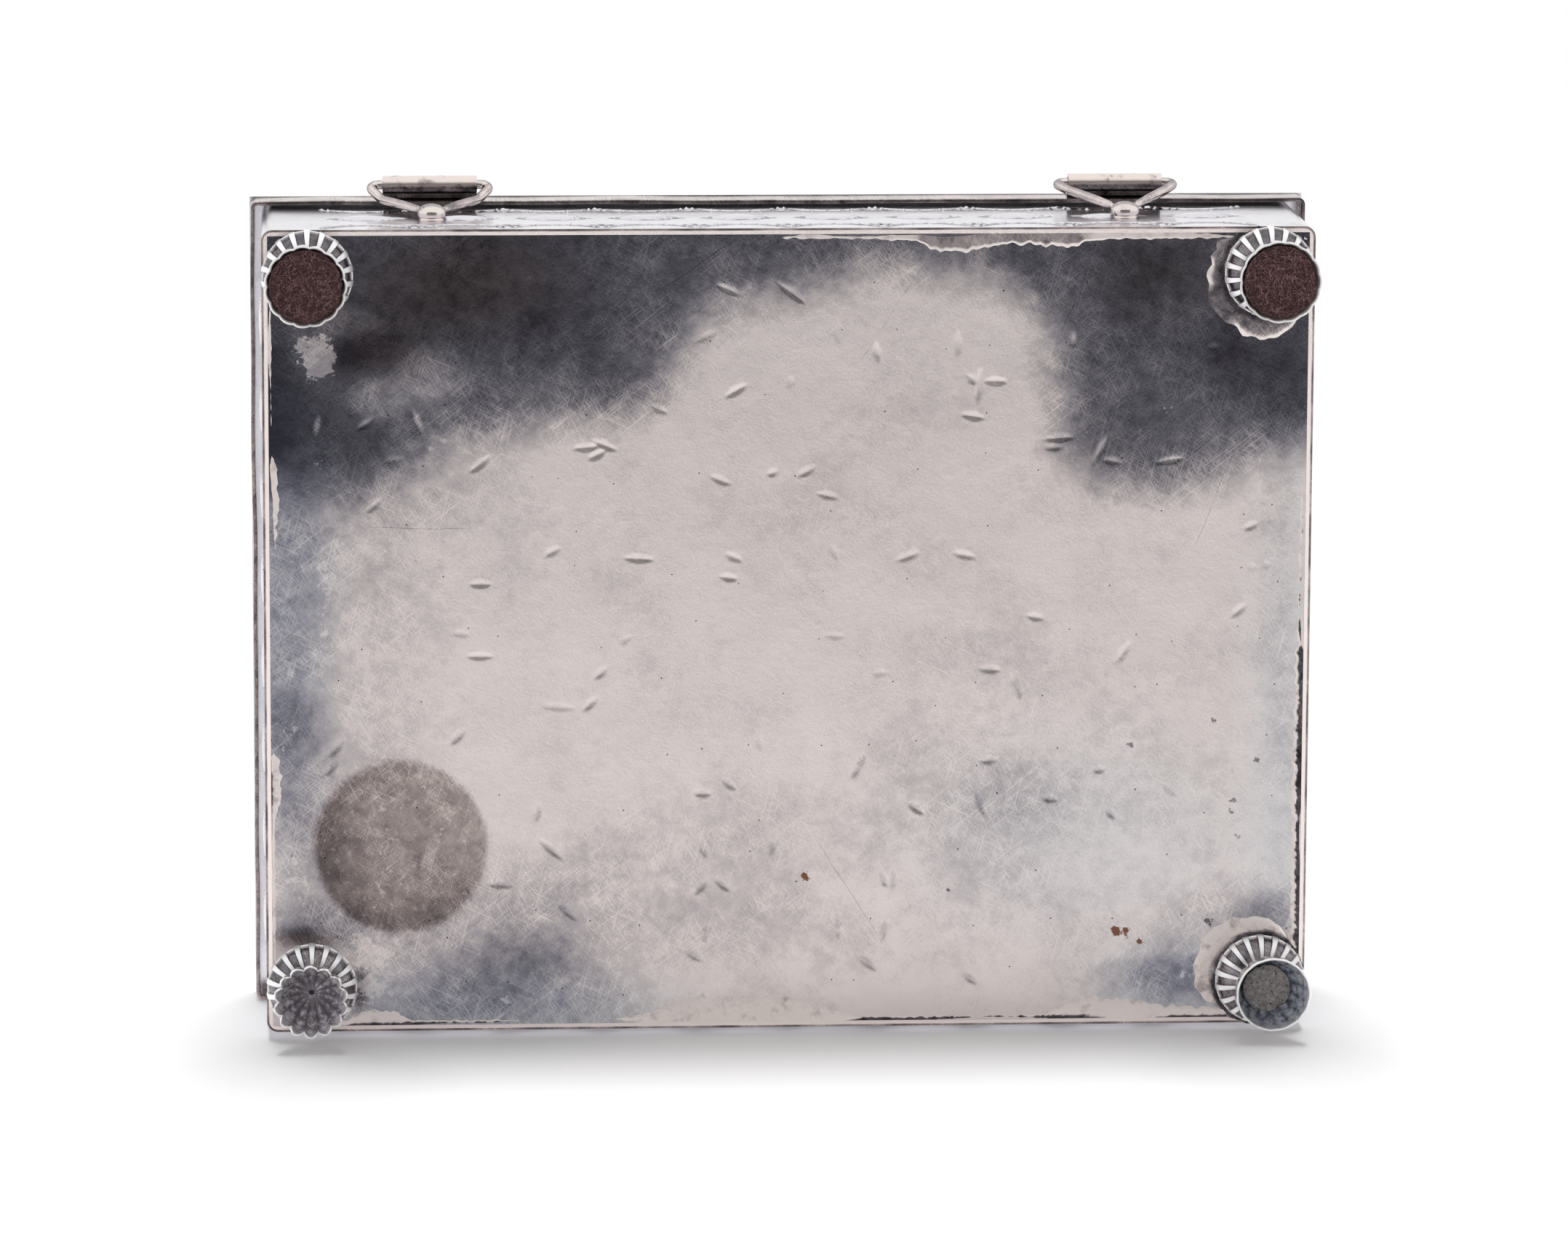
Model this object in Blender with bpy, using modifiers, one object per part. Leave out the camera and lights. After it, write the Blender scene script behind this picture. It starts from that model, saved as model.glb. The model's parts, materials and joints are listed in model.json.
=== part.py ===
"""Stamped silver trinket box with a hinged lid, on four fluted spool feet.

Metres, +Z up. The closed box stands on its feet, whose tips lie at Z = 0.
+Y is the back, where the two hinges are, and X runs along the hinges.
The origin lies under the middle of the whole box, hinges included.
"""

import math

import bmesh
import bpy
from mathutils import Vector

MM = 0.001

# The gap between two pieces that the solder or glue closes on the real box
SEAM_GAP = 0.3 * MM

# Body: a strip of sheet bent to a rectangle, with the base plate set inside it
BODY_WIDTH = 143.0 * MM
BODY_DEPTH = 110.7 * MM
WALL_HEIGHT = 29.0 * MM
WALL_THICKNESS = 0.8 * MM
CORNER_RADIUS = 1.5 * MM
CORNER_STEPS = 6
LEAST_CORNER_RADIUS = 0.1 * MM
BASE_THICKNESS = 1.0 * MM

# Feet: a low fluted dome under each corner, and a fluted cup below it
FOOT_INSET = 6.2 * MM
FOOT_BASE_HEIGHT = 2.7 * MM
FOOT_BASE_RADIUS = 6.1 * MM
FOOT_BASE_TOP_RADIUS = 2.3 * MM
CUP_HEIGHT = 6.1 * MM
BACK_CUP_RADIUS = 5.6 * MM
FRONT_CUP_RADIUS = 5.15 * MM
CUP_APEX_RADIUS = 1.9 * MM
CUP_THICKNESS = 0.35 * MM
FLUTES = 16
FLUTE_DEPTH = 0.3 * MM
FILED_MOUTH_FLUTE_DEPTH = 0.15 * MM
OPEN_MOUTH_FLUTE_DEPTH = 0.5 * MM
DOME_STEPS = 5

# Felt pads in the back cups, and the dried glue left in one front cup
PAD_THICKNESS = 1.5 * MM
PAD_RECESS = 0.25 * MM
GLUE_DEPTH = 3.6 * MM
GLUE_THICKNESS = 0.5 * MM
DISC_SIDES = 32

# Lid: a flat sheet on a rim that hangs outside the wall
LID_THICKNESS = 0.6 * MM
RIM_DEPTH = 5.0 * MM
RIM_THICKNESS = 0.5 * MM
RIM_CLEARANCE = 0.5 * MM
RIM_SIDE_CLEARANCE = 1.2 * MM
RIM_CORNER_RADIUS = 1.0 * MM

# Hinges: the axis lies behind the wall and just above the lower edge of the rim.
# Each lies a fixed way in from its end of the wall, the pair a little to one side,
# and the legs of the right link are bent in to the wall sooner than the left one's.
HINGE_INSET = 24.05 * MM
HINGE_SIDESTEP = 0.9 * MM
HINGE_REACH = 3.1 * MM
HINGE_RISE = 1.0 * MM
WIRE_RADIUS = 0.62 * MM
LINK_RUN = 16.8 * MM
LINK_BEND_RADIUS = 1.0 * MM
BEND_STEPS = 5
STUD_RADIUS = 2.1 * MM
STUD_HEIGHT = 11.0 * MM
STUD_SIDES = 20
STUD_RINGS = 10
CUT_TOLERANCE = 0.001 * MM
LEFT_LEG_BELLY = 0.2 * MM
RIGHT_LEG_BELLY = 1.1 * MM
LEG_BELLY_SHARE = 0.25
LEG_BELLY_RADIUS = 4.0 * MM
KNUCKLE_LENGTH = 13.0 * MM
KNUCKLE_THICKNESS = 0.33 * MM
KNUCKLE_CLEARANCE = 0.3 * MM
ROLL_DEGREES = 295
ROLL_STEPS = 16
LEAF_HEIGHT = 2.2 * MM
LEAF_BEND_RADIUS = 0.4 * MM

# Heights and depths that follow from the sizes above
BASE_UNDERSIDE = CUP_HEIGHT + FOOT_BASE_HEIGHT + 2 * SEAM_GAP
WALL_TOP = BASE_UNDERSIDE + WALL_HEIGHT
RIM_BOTTOM = WALL_TOP - RIM_DEPTH
LID_OVERHANG = RIM_CLEARANCE + RIM_THICKNESS
LID_WIDTH = BODY_WIDTH + 2 * (RIM_SIDE_CLEARANCE + RIM_THICKNESS)
LID_DEPTH = BODY_DEPTH + 2 * LID_OVERHANG
BASE_INSET = WALL_THICKNESS + SEAM_GAP
BACK_FACE = BODY_DEPTH / 2
HINGE_Y = BACK_FACE + HINGE_REACH
HINGE_Z = RIM_BOTTOM + HINGE_RISE
KNUCKLE_RADIUS = WIRE_RADIUS + KNUCKLE_CLEARANCE + KNUCKLE_THICKNESS
HINGE_PROUD = HINGE_REACH + KNUCKLE_RADIUS - LID_OVERHANG

SILVER = ((0.72, 0.70, 0.69), 0.28, 1.0)
FELT = ((0.13, 0.05, 0.05), 0.95, 0.0)
GLUE = ((0.40, 0.40, 0.42), 0.85, 0.0)


def clear_scene():
    """Remove what the scene holds, so that the script can be run again."""
    for item in list(bpy.data.objects):
        bpy.data.objects.remove(item)


def new_empty(name, parent, place):
    """Add an empty that carries other objects, at a place given in the box's frame."""
    empty = bpy.data.objects.new(name, None)
    empty.empty_display_size = CUP_HEIGHT
    collection.objects.link(empty)
    attach(empty, parent, place)
    return empty


def attach(item, parent, place):
    """Parent an object and set it at a place given in the box's frame."""
    item["place"] = tuple(place)
    item.parent = parent
    offset = Vector(parent["place"]) if parent else Vector((0, 0, 0))
    item.location = Vector(place) - offset


def give_material(item, finish):
    """Give an object its own material with a colour, a roughness and a metallic value."""
    colour, roughness, metallic = finish
    material = bpy.data.materials.new(item.name + "_finish")
    material.use_nodes = True
    shader = material.node_tree.nodes["Principled BSDF"]
    shader.inputs["Base Color"].default_value = (*colour, 1)
    shader.inputs["Roughness"].default_value = roughness
    shader.inputs["Metallic"].default_value = metallic
    item.data.materials.append(material)


def add_object(name, data, finish, parent, place):
    """Add a named object that holds the data, and place it."""
    item = bpy.data.objects.new(name, data)
    collection.objects.link(item)
    attach(item, parent, place)
    give_material(item, finish)
    return item


def mesh_from(shape, name):
    """Turn a bmesh into a mesh with smooth faces and sharp edges."""
    bmesh.ops.recalc_face_normals(shape, faces=shape.faces)
    mesh = bpy.data.meshes.new(name)
    shape.to_mesh(mesh)
    shape.free()
    mesh.shade_smooth()
    mesh.set_sharp_from_angle(angle=math.radians(35))
    return mesh


def rounded_rectangle(width, depth, radius):
    """Start a bmesh with one face, a rectangle with round corners."""
    shape = bmesh.new()
    bmesh.ops.create_grid(shape, x_segments=1, y_segments=1, size=0.5)
    bmesh.ops.scale(shape, vec=(width, depth, 1), verts=shape.verts)
    bmesh.ops.bevel(
        shape,
        geom=shape.verts,
        offset=radius,
        segments=CORNER_STEPS,
        profile=0.5,
        affect="VERTICES",
    )
    return shape


def add_plate(name, width, depth, radius, thickness, finish, parent, place):
    """Add a flat plate with round corners, whose lower face is at its place."""
    shape = rounded_rectangle(width, depth, radius)
    raised = bmesh.ops.extrude_face_region(shape, geom=shape.faces)["geom"]
    raised_verts = [part for part in raised if isinstance(part, bmesh.types.BMVert)]
    bmesh.ops.translate(shape, vec=(0, 0, thickness), verts=raised_verts)
    return add_object(name, mesh_from(shape, name), finish, parent, place)


def add_band(name, width, depth, radius, height, thickness, finish, parent, place):
    """Add a strip bent to a rectangle, with its outer face on the outline."""
    shape = rounded_rectangle(width, depth, radius)
    outline = list(shape.edges)
    raised = bmesh.ops.extrude_edge_only(shape, edges=outline)["geom"]
    raised_verts = [part for part in raised if isinstance(part, bmesh.types.BMVert)]
    bmesh.ops.translate(shape, vec=(0, 0, height), verts=raised_verts)
    floor = [face for face in shape.faces if abs(face.normal.z) > 0.5]
    bmesh.ops.delete(shape, geom=floor, context="FACES_ONLY")
    for face in shape.faces:
        face.normal_update()
        if face.normal.dot(face.calc_center_median()) < 0:
            face.normal_flip()
    mesh = bpy.data.meshes.new(name)
    shape.to_mesh(mesh)
    shape.free()
    band = add_object(name, mesh, finish, parent, place)
    wall = band.modifiers.new("sheet_thickness", "SOLIDIFY")
    wall.thickness = thickness
    wall.offset = -1
    wall.use_even_offset = True
    return band


def dome_rings(radius, flat_radius, height, mouth_flute):
    """Rings of a dome from its mouth at zero up to its flat top."""
    turn_end = math.acos(flat_radius / radius)
    full_height = height / math.sin(turn_end)
    rings = []
    for step in range(DOME_STEPS + 1):
        share = step / DOME_STEPS
        turn = turn_end * share
        flute = mouth_flute + (FLUTE_DEPTH - mouth_flute) * math.sin(math.pi * share)
        rings.append((radius * math.cos(turn), full_height * math.sin(turn), flute))
    return rings


def fluted_mesh(name, rings):
    """Bridge rings of (radius, height, flute depth), closed at the first and the last."""
    shape = bmesh.new()
    loops = []
    for number, (radius, height, flute) in enumerate(rings):
        capped = number in (0, len(rings) - 1)
        ring = bmesh.ops.create_circle(shape, cap_ends=capped, segments=2 * FLUTES, radius=radius)
        members = set(ring["verts"])
        for order, vertex in enumerate(ring["verts"]):
            if order % 2:
                vertex.co *= (radius - flute) / radius
            vertex.co.z = height
        loops.append([edge for edge in shape.edges if set(edge.verts) <= members])
    for lower, upper in zip(loops, loops[1:]):
        bmesh.ops.bridge_loops(shape, edges=lower + upper)
    return mesh_from(shape, name)


def foot_places():
    """Name, place, cup radius and flute depth at the cup's mouth of each foot."""
    x = BODY_WIDTH / 2 - FOOT_INSET
    y = BODY_DEPTH / 2 - FOOT_INSET
    return [
        ("back_left", -x, y, BACK_CUP_RADIUS, FILED_MOUTH_FLUTE_DEPTH),
        ("back_right", x, y, BACK_CUP_RADIUS, FILED_MOUTH_FLUTE_DEPTH),
        ("front_left", -x, -y, FRONT_CUP_RADIUS, FILED_MOUTH_FLUTE_DEPTH),
        ("front_right", x, -y, FRONT_CUP_RADIUS, OPEN_MOUTH_FLUTE_DEPTH),
    ]


def cup_inner_rings(radius, mouth_flute):
    """Rings of the inside of a cup, from its mouth up."""
    return dome_rings(
        radius - CUP_THICKNESS,
        CUP_APEX_RADIUS - CUP_THICKNESS,
        CUP_HEIGHT - CUP_THICKNESS,
        mouth_flute,
    )


def make_body(parent):
    """The bent wall and the base plate inside its lower edge."""
    add_band(
        "body_wall",
        BODY_WIDTH,
        BODY_DEPTH,
        CORNER_RADIUS,
        WALL_HEIGHT,
        WALL_THICKNESS,
        SILVER,
        parent,
        (0, 0, BASE_UNDERSIDE),
    )
    add_plate(
        "base_plate",
        BODY_WIDTH - 2 * BASE_INSET,
        BODY_DEPTH - 2 * BASE_INSET,
        max(CORNER_RADIUS - BASE_INSET, LEAST_CORNER_RADIUS),
        BASE_THICKNESS,
        SILVER,
        parent,
        (0, 0, BASE_UNDERSIDE),
    )


def make_feet(parent):
    """Each foot: a dome against the plate, and a cup apex to apex below it."""
    for side, x, y, cup_radius, mouth_flute in foot_places():
        dome = dome_rings(FOOT_BASE_RADIUS, FOOT_BASE_TOP_RADIUS, FOOT_BASE_HEIGHT, FLUTE_DEPTH)
        rings = [(radius, FOOT_BASE_HEIGHT - height, flute) for radius, height, flute in dome]
        base = fluted_mesh("foot_base_" + side, rings)
        base_place = (x, y, CUP_HEIGHT + SEAM_GAP)
        add_object("foot_base_" + side, base, SILVER, parent, base_place)

        outside = dome_rings(cup_radius, CUP_APEX_RADIUS, CUP_HEIGHT, mouth_flute)
        inside = cup_inner_rings(cup_radius, mouth_flute)
        cup = fluted_mesh("foot_cup_" + side, outside[::-1] + inside)
        add_object("foot_cup_" + side, cup, SILVER, parent, (x, y, 0))


def room_in_cup(rings, height):
    """Radius of a disc that fits in a cup at a height above its mouth."""
    mouth_radius = rings[0][0]
    flat_radius, top_height, _ = rings[-1]
    full_height = top_height / math.sin(math.acos(flat_radius / mouth_radius))
    deepest_flute = max(flute for _, _, flute in rings)
    inner_radius = mouth_radius * math.cos(math.asin(height / full_height))
    return inner_radius - deepest_flute - SEAM_GAP


def make_felt_pads(parent):
    """A round felt pad in each back cup, a little above the cup's mouth."""
    for side, x, y, cup_radius, mouth_flute in foot_places():
        if not side.startswith("back"):
            continue
        rings = cup_inner_rings(cup_radius, mouth_flute)
        shape = bmesh.new()
        bmesh.ops.create_cone(
            shape,
            cap_ends=True,
            segments=DISC_SIDES,
            radius1=room_in_cup(rings, PAD_RECESS),
            radius2=room_in_cup(rings, PAD_RECESS + PAD_THICKNESS),
            depth=PAD_THICKNESS,
        )
        name = "felt_pad_" + side
        place = (x, y, PAD_RECESS + PAD_THICKNESS / 2)
        add_object(name, mesh_from(shape, name), FELT, parent, place)


def make_glue_disc(parent):
    """The dried glue deep in the front left cup, as wide as the cup is there."""
    side, x, y, cup_radius, mouth_flute = foot_places()[2]
    rings = cup_inner_rings(cup_radius, mouth_flute)
    shape = bmesh.new()
    bmesh.ops.create_cone(
        shape,
        cap_ends=True,
        segments=DISC_SIDES,
        radius1=room_in_cup(rings, GLUE_DEPTH),
        radius2=room_in_cup(rings, GLUE_DEPTH + GLUE_THICKNESS),
        depth=GLUE_THICKNESS,
    )
    name = "glue_disc_" + side
    place = (x, y, GLUE_DEPTH + GLUE_THICKNESS / 2)
    add_object(name, mesh_from(shape, name), GLUE, parent, place)


def make_lid(parent):
    """The rim that hangs outside the wall, and the flat sheet on it."""
    add_band(
        "lid_rim",
        LID_WIDTH,
        LID_DEPTH,
        RIM_CORNER_RADIUS,
        RIM_DEPTH,
        RIM_THICKNESS,
        SILVER,
        parent,
        (0, 0, RIM_BOTTOM),
    )
    add_plate(
        "lid_sheet",
        LID_WIDTH,
        LID_DEPTH,
        RIM_CORNER_RADIUS,
        LID_THICKNESS,
        SILVER,
        parent,
        (0, 0, WALL_TOP + SEAM_GAP),
    )


def bend_points(before, corner, after, radius):
    """Points of an arc that rounds the corner between two straight runs."""
    first = (before - corner).normalized()
    second = (after - corner).normalized()
    half_angle = first.angle(second) / 2
    setback = radius / math.tan(half_angle)
    centre = corner + (first + second).normalized() * (radius / math.sin(half_angle))
    start = corner + first * setback - centre
    end = corner + second * setback - centre
    sweep = start.angle(end)
    points = []
    for step in range(BEND_STEPS + 1):
        turn = sweep * step / BEND_STEPS
        mixed = (start * math.sin(sweep - turn) + end * math.sin(turn)) / math.sin(sweep)
        points.append(centre + mixed)
    return points


def leg_path(side_sign, belly):
    """One leg of the bent wire, from the middle of the straight run to the stud."""
    middle = Vector((0, 0, 0))
    corner = Vector((side_sign * LINK_RUN / 2, 0, 0))
    stud_y = WIRE_RADIUS + SEAM_GAP - HINGE_REACH
    stud = Vector((0, stud_y, BASE_UNDERSIDE + STUD_HEIGHT - HINGE_Z))
    knee = corner.lerp(stud, LEG_BELLY_SHARE) - Vector((0, belly, 0))
    end = stud + (knee - stud).normalized() * (STUD_RADIUS + SEAM_GAP)
    points = bend_points(middle, corner, knee, LINK_BEND_RADIUS)
    points += bend_points(points[-1], knee, end, LEG_BELLY_RADIUS)
    return [*points, end]


def add_link(name, belly, parent, place):
    """Add the wire triangle whose straight run is the pintle of a hinge."""
    curve = bpy.data.curves.new(name, "CURVE")
    curve.dimensions = "3D"
    curve.bevel_depth = WIRE_RADIUS
    curve.bevel_resolution = 2
    curve.use_fill_caps = True
    path = leg_path(-1, belly)[::-1] + leg_path(1, belly)
    spline = curve.splines.new("POLY")
    spline.points.add(len(path) - 1)
    for point, target in zip(spline.points, path):
        point.co = (*target, 1)
    add_object(name, curve, SILVER, parent, place)


def add_stud(name, parent, place):
    """Add a half ball with its flat face towards the wall."""
    shape = bmesh.new()
    bmesh.ops.create_uvsphere(
        shape, u_segments=STUD_SIDES, v_segments=STUD_RINGS, radius=STUD_RADIUS
    )
    bmesh.ops.bisect_plane(
        shape,
        geom=[*shape.verts, *shape.edges, *shape.faces],
        dist=CUT_TOLERANCE,
        plane_co=(0, 0, 0),
        plane_no=(0, -1, 0),
        clear_outer=True,
    )
    rim = [edge for edge in shape.edges if edge.is_boundary]
    bmesh.ops.holes_fill(shape, edges=rim)
    add_object(name, mesh_from(shape, name), SILVER, parent, place)


def knuckle_profile():
    """Middle line of the rolled strip, from its free end round to the top of its leaf."""
    roll = KNUCKLE_RADIUS - KNUCKLE_THICKNESS / 2
    points = []
    for step in range(ROLL_STEPS + 1):
        turn = math.radians(90 - ROLL_DEGREES * (1 - step / ROLL_STEPS))
        points.append(Vector((0, roll * math.cos(turn), roll * math.sin(turn))))
    leaf_y = LID_OVERHANG + SEAM_GAP + KNUCKLE_THICKNESS / 2 - HINGE_REACH
    corner = Vector((0, leaf_y, roll))
    leaf_end = Vector((0, leaf_y, roll + LEAF_HEIGHT))
    points += bend_points(points[-1], corner, leaf_end, LEAF_BEND_RADIUS)
    points.append(leaf_end)
    return points


def add_knuckle(name, parent, place):
    """Add the strip rolled round the pintle, with its leaf up the outside of the rim."""
    shape = bmesh.new()
    start = Vector((-KNUCKLE_LENGTH / 2, 0, 0))
    chain = [shape.verts.new(point + start) for point in knuckle_profile()]
    edges = [shape.edges.new(pair) for pair in zip(chain, chain[1:])]
    pulled = bmesh.ops.extrude_edge_only(shape, edges=edges)["geom"]
    pulled_verts = [part for part in pulled if isinstance(part, bmesh.types.BMVert)]
    bmesh.ops.translate(shape, vec=(KNUCKLE_LENGTH, 0, 0), verts=pulled_verts)
    knuckle = add_object(name, mesh_from(shape, name), SILVER, parent, place)
    strip = knuckle.modifiers.new("sheet_thickness", "SOLIDIFY")
    strip.thickness = KNUCKLE_THICKNESS
    strip.offset = 0
    strip.use_even_offset = True


def make_hinges(box, lid):
    """Two hinges: link and stud on the body, knuckle on the lid."""
    from_middle = BODY_WIDTH / 2 - HINGE_INSET
    for side, x, belly in (
        ("left", HINGE_SIDESTEP - from_middle, LEFT_LEG_BELLY),
        ("right", HINGE_SIDESTEP + from_middle, RIGHT_LEG_BELLY),
    ):
        axis = (x, HINGE_Y, HINGE_Z)
        add_link("hinge_link_" + side, belly, box, axis)
        stud_place = (x, BACK_FACE + SEAM_GAP, BASE_UNDERSIDE + STUD_HEIGHT)
        add_stud("hinge_stud_" + side, box, stud_place)
        add_knuckle("hinge_knuckle_" + side, lid, axis)


clear_scene()
collection = bpy.data.collections.new("trinket_box")
bpy.context.scene.collection.children.link(collection)

box_frame = new_empty("box_frame", None, (0, 0, 0))
lid_pivot = new_empty("lid_pivot", box_frame, (0, HINGE_Y, HINGE_Z))
make_body(box_frame)
make_feet(box_frame)
make_felt_pads(box_frame)
make_glue_disc(box_frame)
make_lid(lid_pivot)
make_hinges(box_frame, lid_pivot)

# Centre the whole outline, from the front of the rim to the back of the knuckles
box_frame.location.y = -HINGE_PROUD / 2
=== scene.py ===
"""The looks of the silver trinket box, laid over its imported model, piece by piece.

Metres, +Z up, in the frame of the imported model. The box stands on its feet at Z = 0 with its
hinges at +Y. The camera looks at its underside, with the front wall down.
"""

import json
import math

import bmesh
import bpy
import numpy as np
from mathutils import Euler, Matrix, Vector
from mathutils.noise import noise as noise_at

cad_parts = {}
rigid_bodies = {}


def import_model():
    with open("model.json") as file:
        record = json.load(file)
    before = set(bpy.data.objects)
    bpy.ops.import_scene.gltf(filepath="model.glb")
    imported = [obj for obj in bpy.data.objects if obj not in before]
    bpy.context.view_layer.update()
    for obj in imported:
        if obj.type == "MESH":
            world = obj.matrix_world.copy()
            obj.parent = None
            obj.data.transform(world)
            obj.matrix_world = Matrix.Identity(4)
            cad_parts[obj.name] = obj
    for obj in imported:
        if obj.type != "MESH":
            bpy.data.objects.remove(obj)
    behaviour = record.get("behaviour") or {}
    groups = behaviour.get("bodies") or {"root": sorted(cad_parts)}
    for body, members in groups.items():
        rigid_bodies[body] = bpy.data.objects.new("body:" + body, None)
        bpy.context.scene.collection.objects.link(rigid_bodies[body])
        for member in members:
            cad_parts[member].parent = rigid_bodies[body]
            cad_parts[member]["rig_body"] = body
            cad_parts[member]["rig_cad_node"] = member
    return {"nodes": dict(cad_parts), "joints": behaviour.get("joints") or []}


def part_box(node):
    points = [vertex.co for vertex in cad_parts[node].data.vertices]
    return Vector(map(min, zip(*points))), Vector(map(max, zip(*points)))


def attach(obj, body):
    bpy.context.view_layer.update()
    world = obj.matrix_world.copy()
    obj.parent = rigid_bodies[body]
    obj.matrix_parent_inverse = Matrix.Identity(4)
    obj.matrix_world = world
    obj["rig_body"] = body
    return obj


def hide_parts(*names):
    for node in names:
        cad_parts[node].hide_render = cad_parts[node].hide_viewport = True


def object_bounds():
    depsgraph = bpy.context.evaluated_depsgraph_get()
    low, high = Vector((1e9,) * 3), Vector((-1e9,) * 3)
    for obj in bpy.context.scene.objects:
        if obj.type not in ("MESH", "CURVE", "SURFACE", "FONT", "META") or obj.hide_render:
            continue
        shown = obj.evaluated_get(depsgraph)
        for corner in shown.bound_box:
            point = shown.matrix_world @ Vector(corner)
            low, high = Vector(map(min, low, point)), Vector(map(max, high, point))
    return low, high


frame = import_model()
cad_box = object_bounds()

MM = 0.001
PHOTO_WIDTH = 2156
PHOTO_HEIGHT = 1725

# Camera
# A long lens about a metre below the box, turned up to its underside. Marks on the plate are
# read off the photograph as pixels, and put on the metal along the camera's own rays.
LENS_MM = 178.66
SENSOR_MM = 36
CAMERA_PLACE = Vector((0.0656, 0.1854, -1.0342))
CAMERA_TURN = Euler([math.radians(angle) for angle in (169.87, 3.52, 179.778)])
FOCAL_PIXELS = LENS_MM / SENSOR_MM * PHOTO_WIDTH

camera_data = bpy.data.cameras.new("camera")
camera_data.lens = LENS_MM
camera_data.sensor_width = SENSOR_MM
camera_data.sensor_fit = "HORIZONTAL"
camera = bpy.data.objects.new("camera", camera_data)
camera.location = CAMERA_PLACE
camera.rotation_euler = CAMERA_TURN
bpy.context.scene.collection.objects.link(camera)
bpy.context.scene.camera = camera


def at_pixel(across, down, height):
    """The point at a height that shows at a pixel of the photograph."""
    ray = CAMERA_TURN.to_matrix() @ Vector(
        (across - PHOTO_WIDTH / 2, PHOTO_HEIGHT / 2 - down, -FOCAL_PIXELS)
    )
    return CAMERA_PLACE + ray * ((height - CAMERA_PLACE.z) / ray.z)


def pixels_of(points):
    """The pixels at which points show, as two columns."""
    turned = (points - np.array(CAMERA_PLACE)) @ np.array(CAMERA_TURN.to_matrix())
    scaled = turned[:, :2] * (FOCAL_PIXELS / -turned[:, 2:])
    return np.column_stack((PHOTO_WIDTH / 2 + scaled[:, 0], PHOTO_HEIGHT / 2 - scaled[:, 1]))


# Base plate
# A sheet of silver let into the lower end of the wall. It is waved and dented by the hammer,
# scratched, and darkened blue-black along the hinge side, partly by tarnish and partly by a
# painted reflection of dark surroundings, with the mark of a round sticker.
PLATE_CELL = 0.7 * MM
PLATE_WAVE = 0.22 * MM
WAVE_LENGTH = 26 * MM
DENT_WIDTH = 1.25 * MM
DENT_DEPTHS = {"strong": 0.17 * MM, "plain": 0.11 * MM, "weak": 0.05 * MM}
DENT_MARGIN = 0.6 * MM
DENT_CUTS = 2
DENT_ROUNDNESS = 1.5
DENT_LEAST_SHARE = 0.05

# How far the edge is spread, to sit tight in the wall
PLATE_FIT = 0.28 * MM

# Centre in pixels, length in pixels, angle up from the right in degrees
DENTS = {
    "strong": [
        (660, 638, 40, 40), (1002, 398, 40, -25), (1088, 402, 55, -38), (1012, 537, 37, 32),
        (1338, 572, 35, -10), (1369, 524, 33, 0), (1456, 602, 46, 5), (1608, 632, 42, 10),
        (660, 803, 33, 0), (878, 768, 46, -3), (1259, 1111, 30, -35), (1347, 1103, 45, -70),
        (807, 615, 40, 5), (831, 612, 40, -22), (821, 625, 30, 30), (1346, 530, 55, 85),
    ],
    "plain": [
        (502, 582, 33, 35), (436, 587, 36, 80), (575, 580, 40, -70), (514, 695, 33, 45),
        (906, 562, 28, -25), (1206, 484, 32, -80), (1317, 472, 40, 90), (991, 660, 36, -22),
        (1062, 650, 17, 25), (1109, 648, 32, 30), (1138, 681, 33, -12), (1338, 522, 25, -45),
        (1449, 615, 27, 0), (1512, 618, 50, 65), (1529, 633, 33, -10), (1476, 466, 25, 90),
        (760, 758, 28, 30), (660, 902, 40, 0), (826, 925, 27, 45), (811, 968, 30, 45),
        (630, 1013, 37, 45), (463, 1028, 35, 50), (456, 1055, 35, 50), (1009, 766, 28, -25),
        (1002, 794, 28, -8), (1248, 765, 37, 20), (1326, 763, 36, -12), (1361, 920, 33, -5),
        (1400, 942, 45, -80), (1423, 848, 27, -10), (1545, 896, 40, 57), (1703, 839, 32, 40),
        (1720, 723, 25, 25), (1182, 1048, 35, 60), (1360, 1045, 28, 5), (1511, 1058, 20, 5),
        (577, 1179, 35, 85), (740, 1116, 30, 80), (758, 1168, 50, -40), (688, 1216, 42, -3),
        (779, 1252, 42, -43), (696, 1299, 22, 75), (966, 1091, 27, 0), (1002, 1078, 28, -35),
        (966, 1166, 34, -70), (1062, 1164, 25, 75), (993, 1216, 32, -40), (964, 1219, 28, 50),
        (969, 1282, 30, 80), (954, 1314, 33, -30), (1152, 1272, 45, 90), (1215, 1279, 35, 80),
        (1228, 1209, 33, 85), (1215, 1209, 25, -70), (1193, 1324, 38, -38), (1334, 1345, 28, -35),
        (1443, 1098, 25, -5), (1527, 1118, 20, -50), (1178, 1057, 35, 60),
    ],
    "weak": [
        (542, 632, 35, 10), (1152, 456, 37, 90), (972, 462, 45, 25), (1087, 525, 20, 90),
        (633, 871, 27, -5), (768, 972, 55, -5), (1148, 874, 32, -3), (1148, 760, 28, -65),
        (1608, 1086, 30, -40), (860, 879, 20, 40), (1211, 925, 25, 0), (1044, 1022, 20, 90),
        (1741, 776, 15, 90), (1721, 779, 15, 90), (1670, 476, 20, 10),
    ],
}

plate_low, plate_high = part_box("base_plate")


def add_primitive(name, operator, **settings):
    """Add a primitive as the only selected object, under a name."""
    bpy.ops.object.select_all(action="DESELECT")
    operator(**settings)
    piece = bpy.context.object
    piece.name = name
    piece.data.name = name
    return piece


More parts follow.
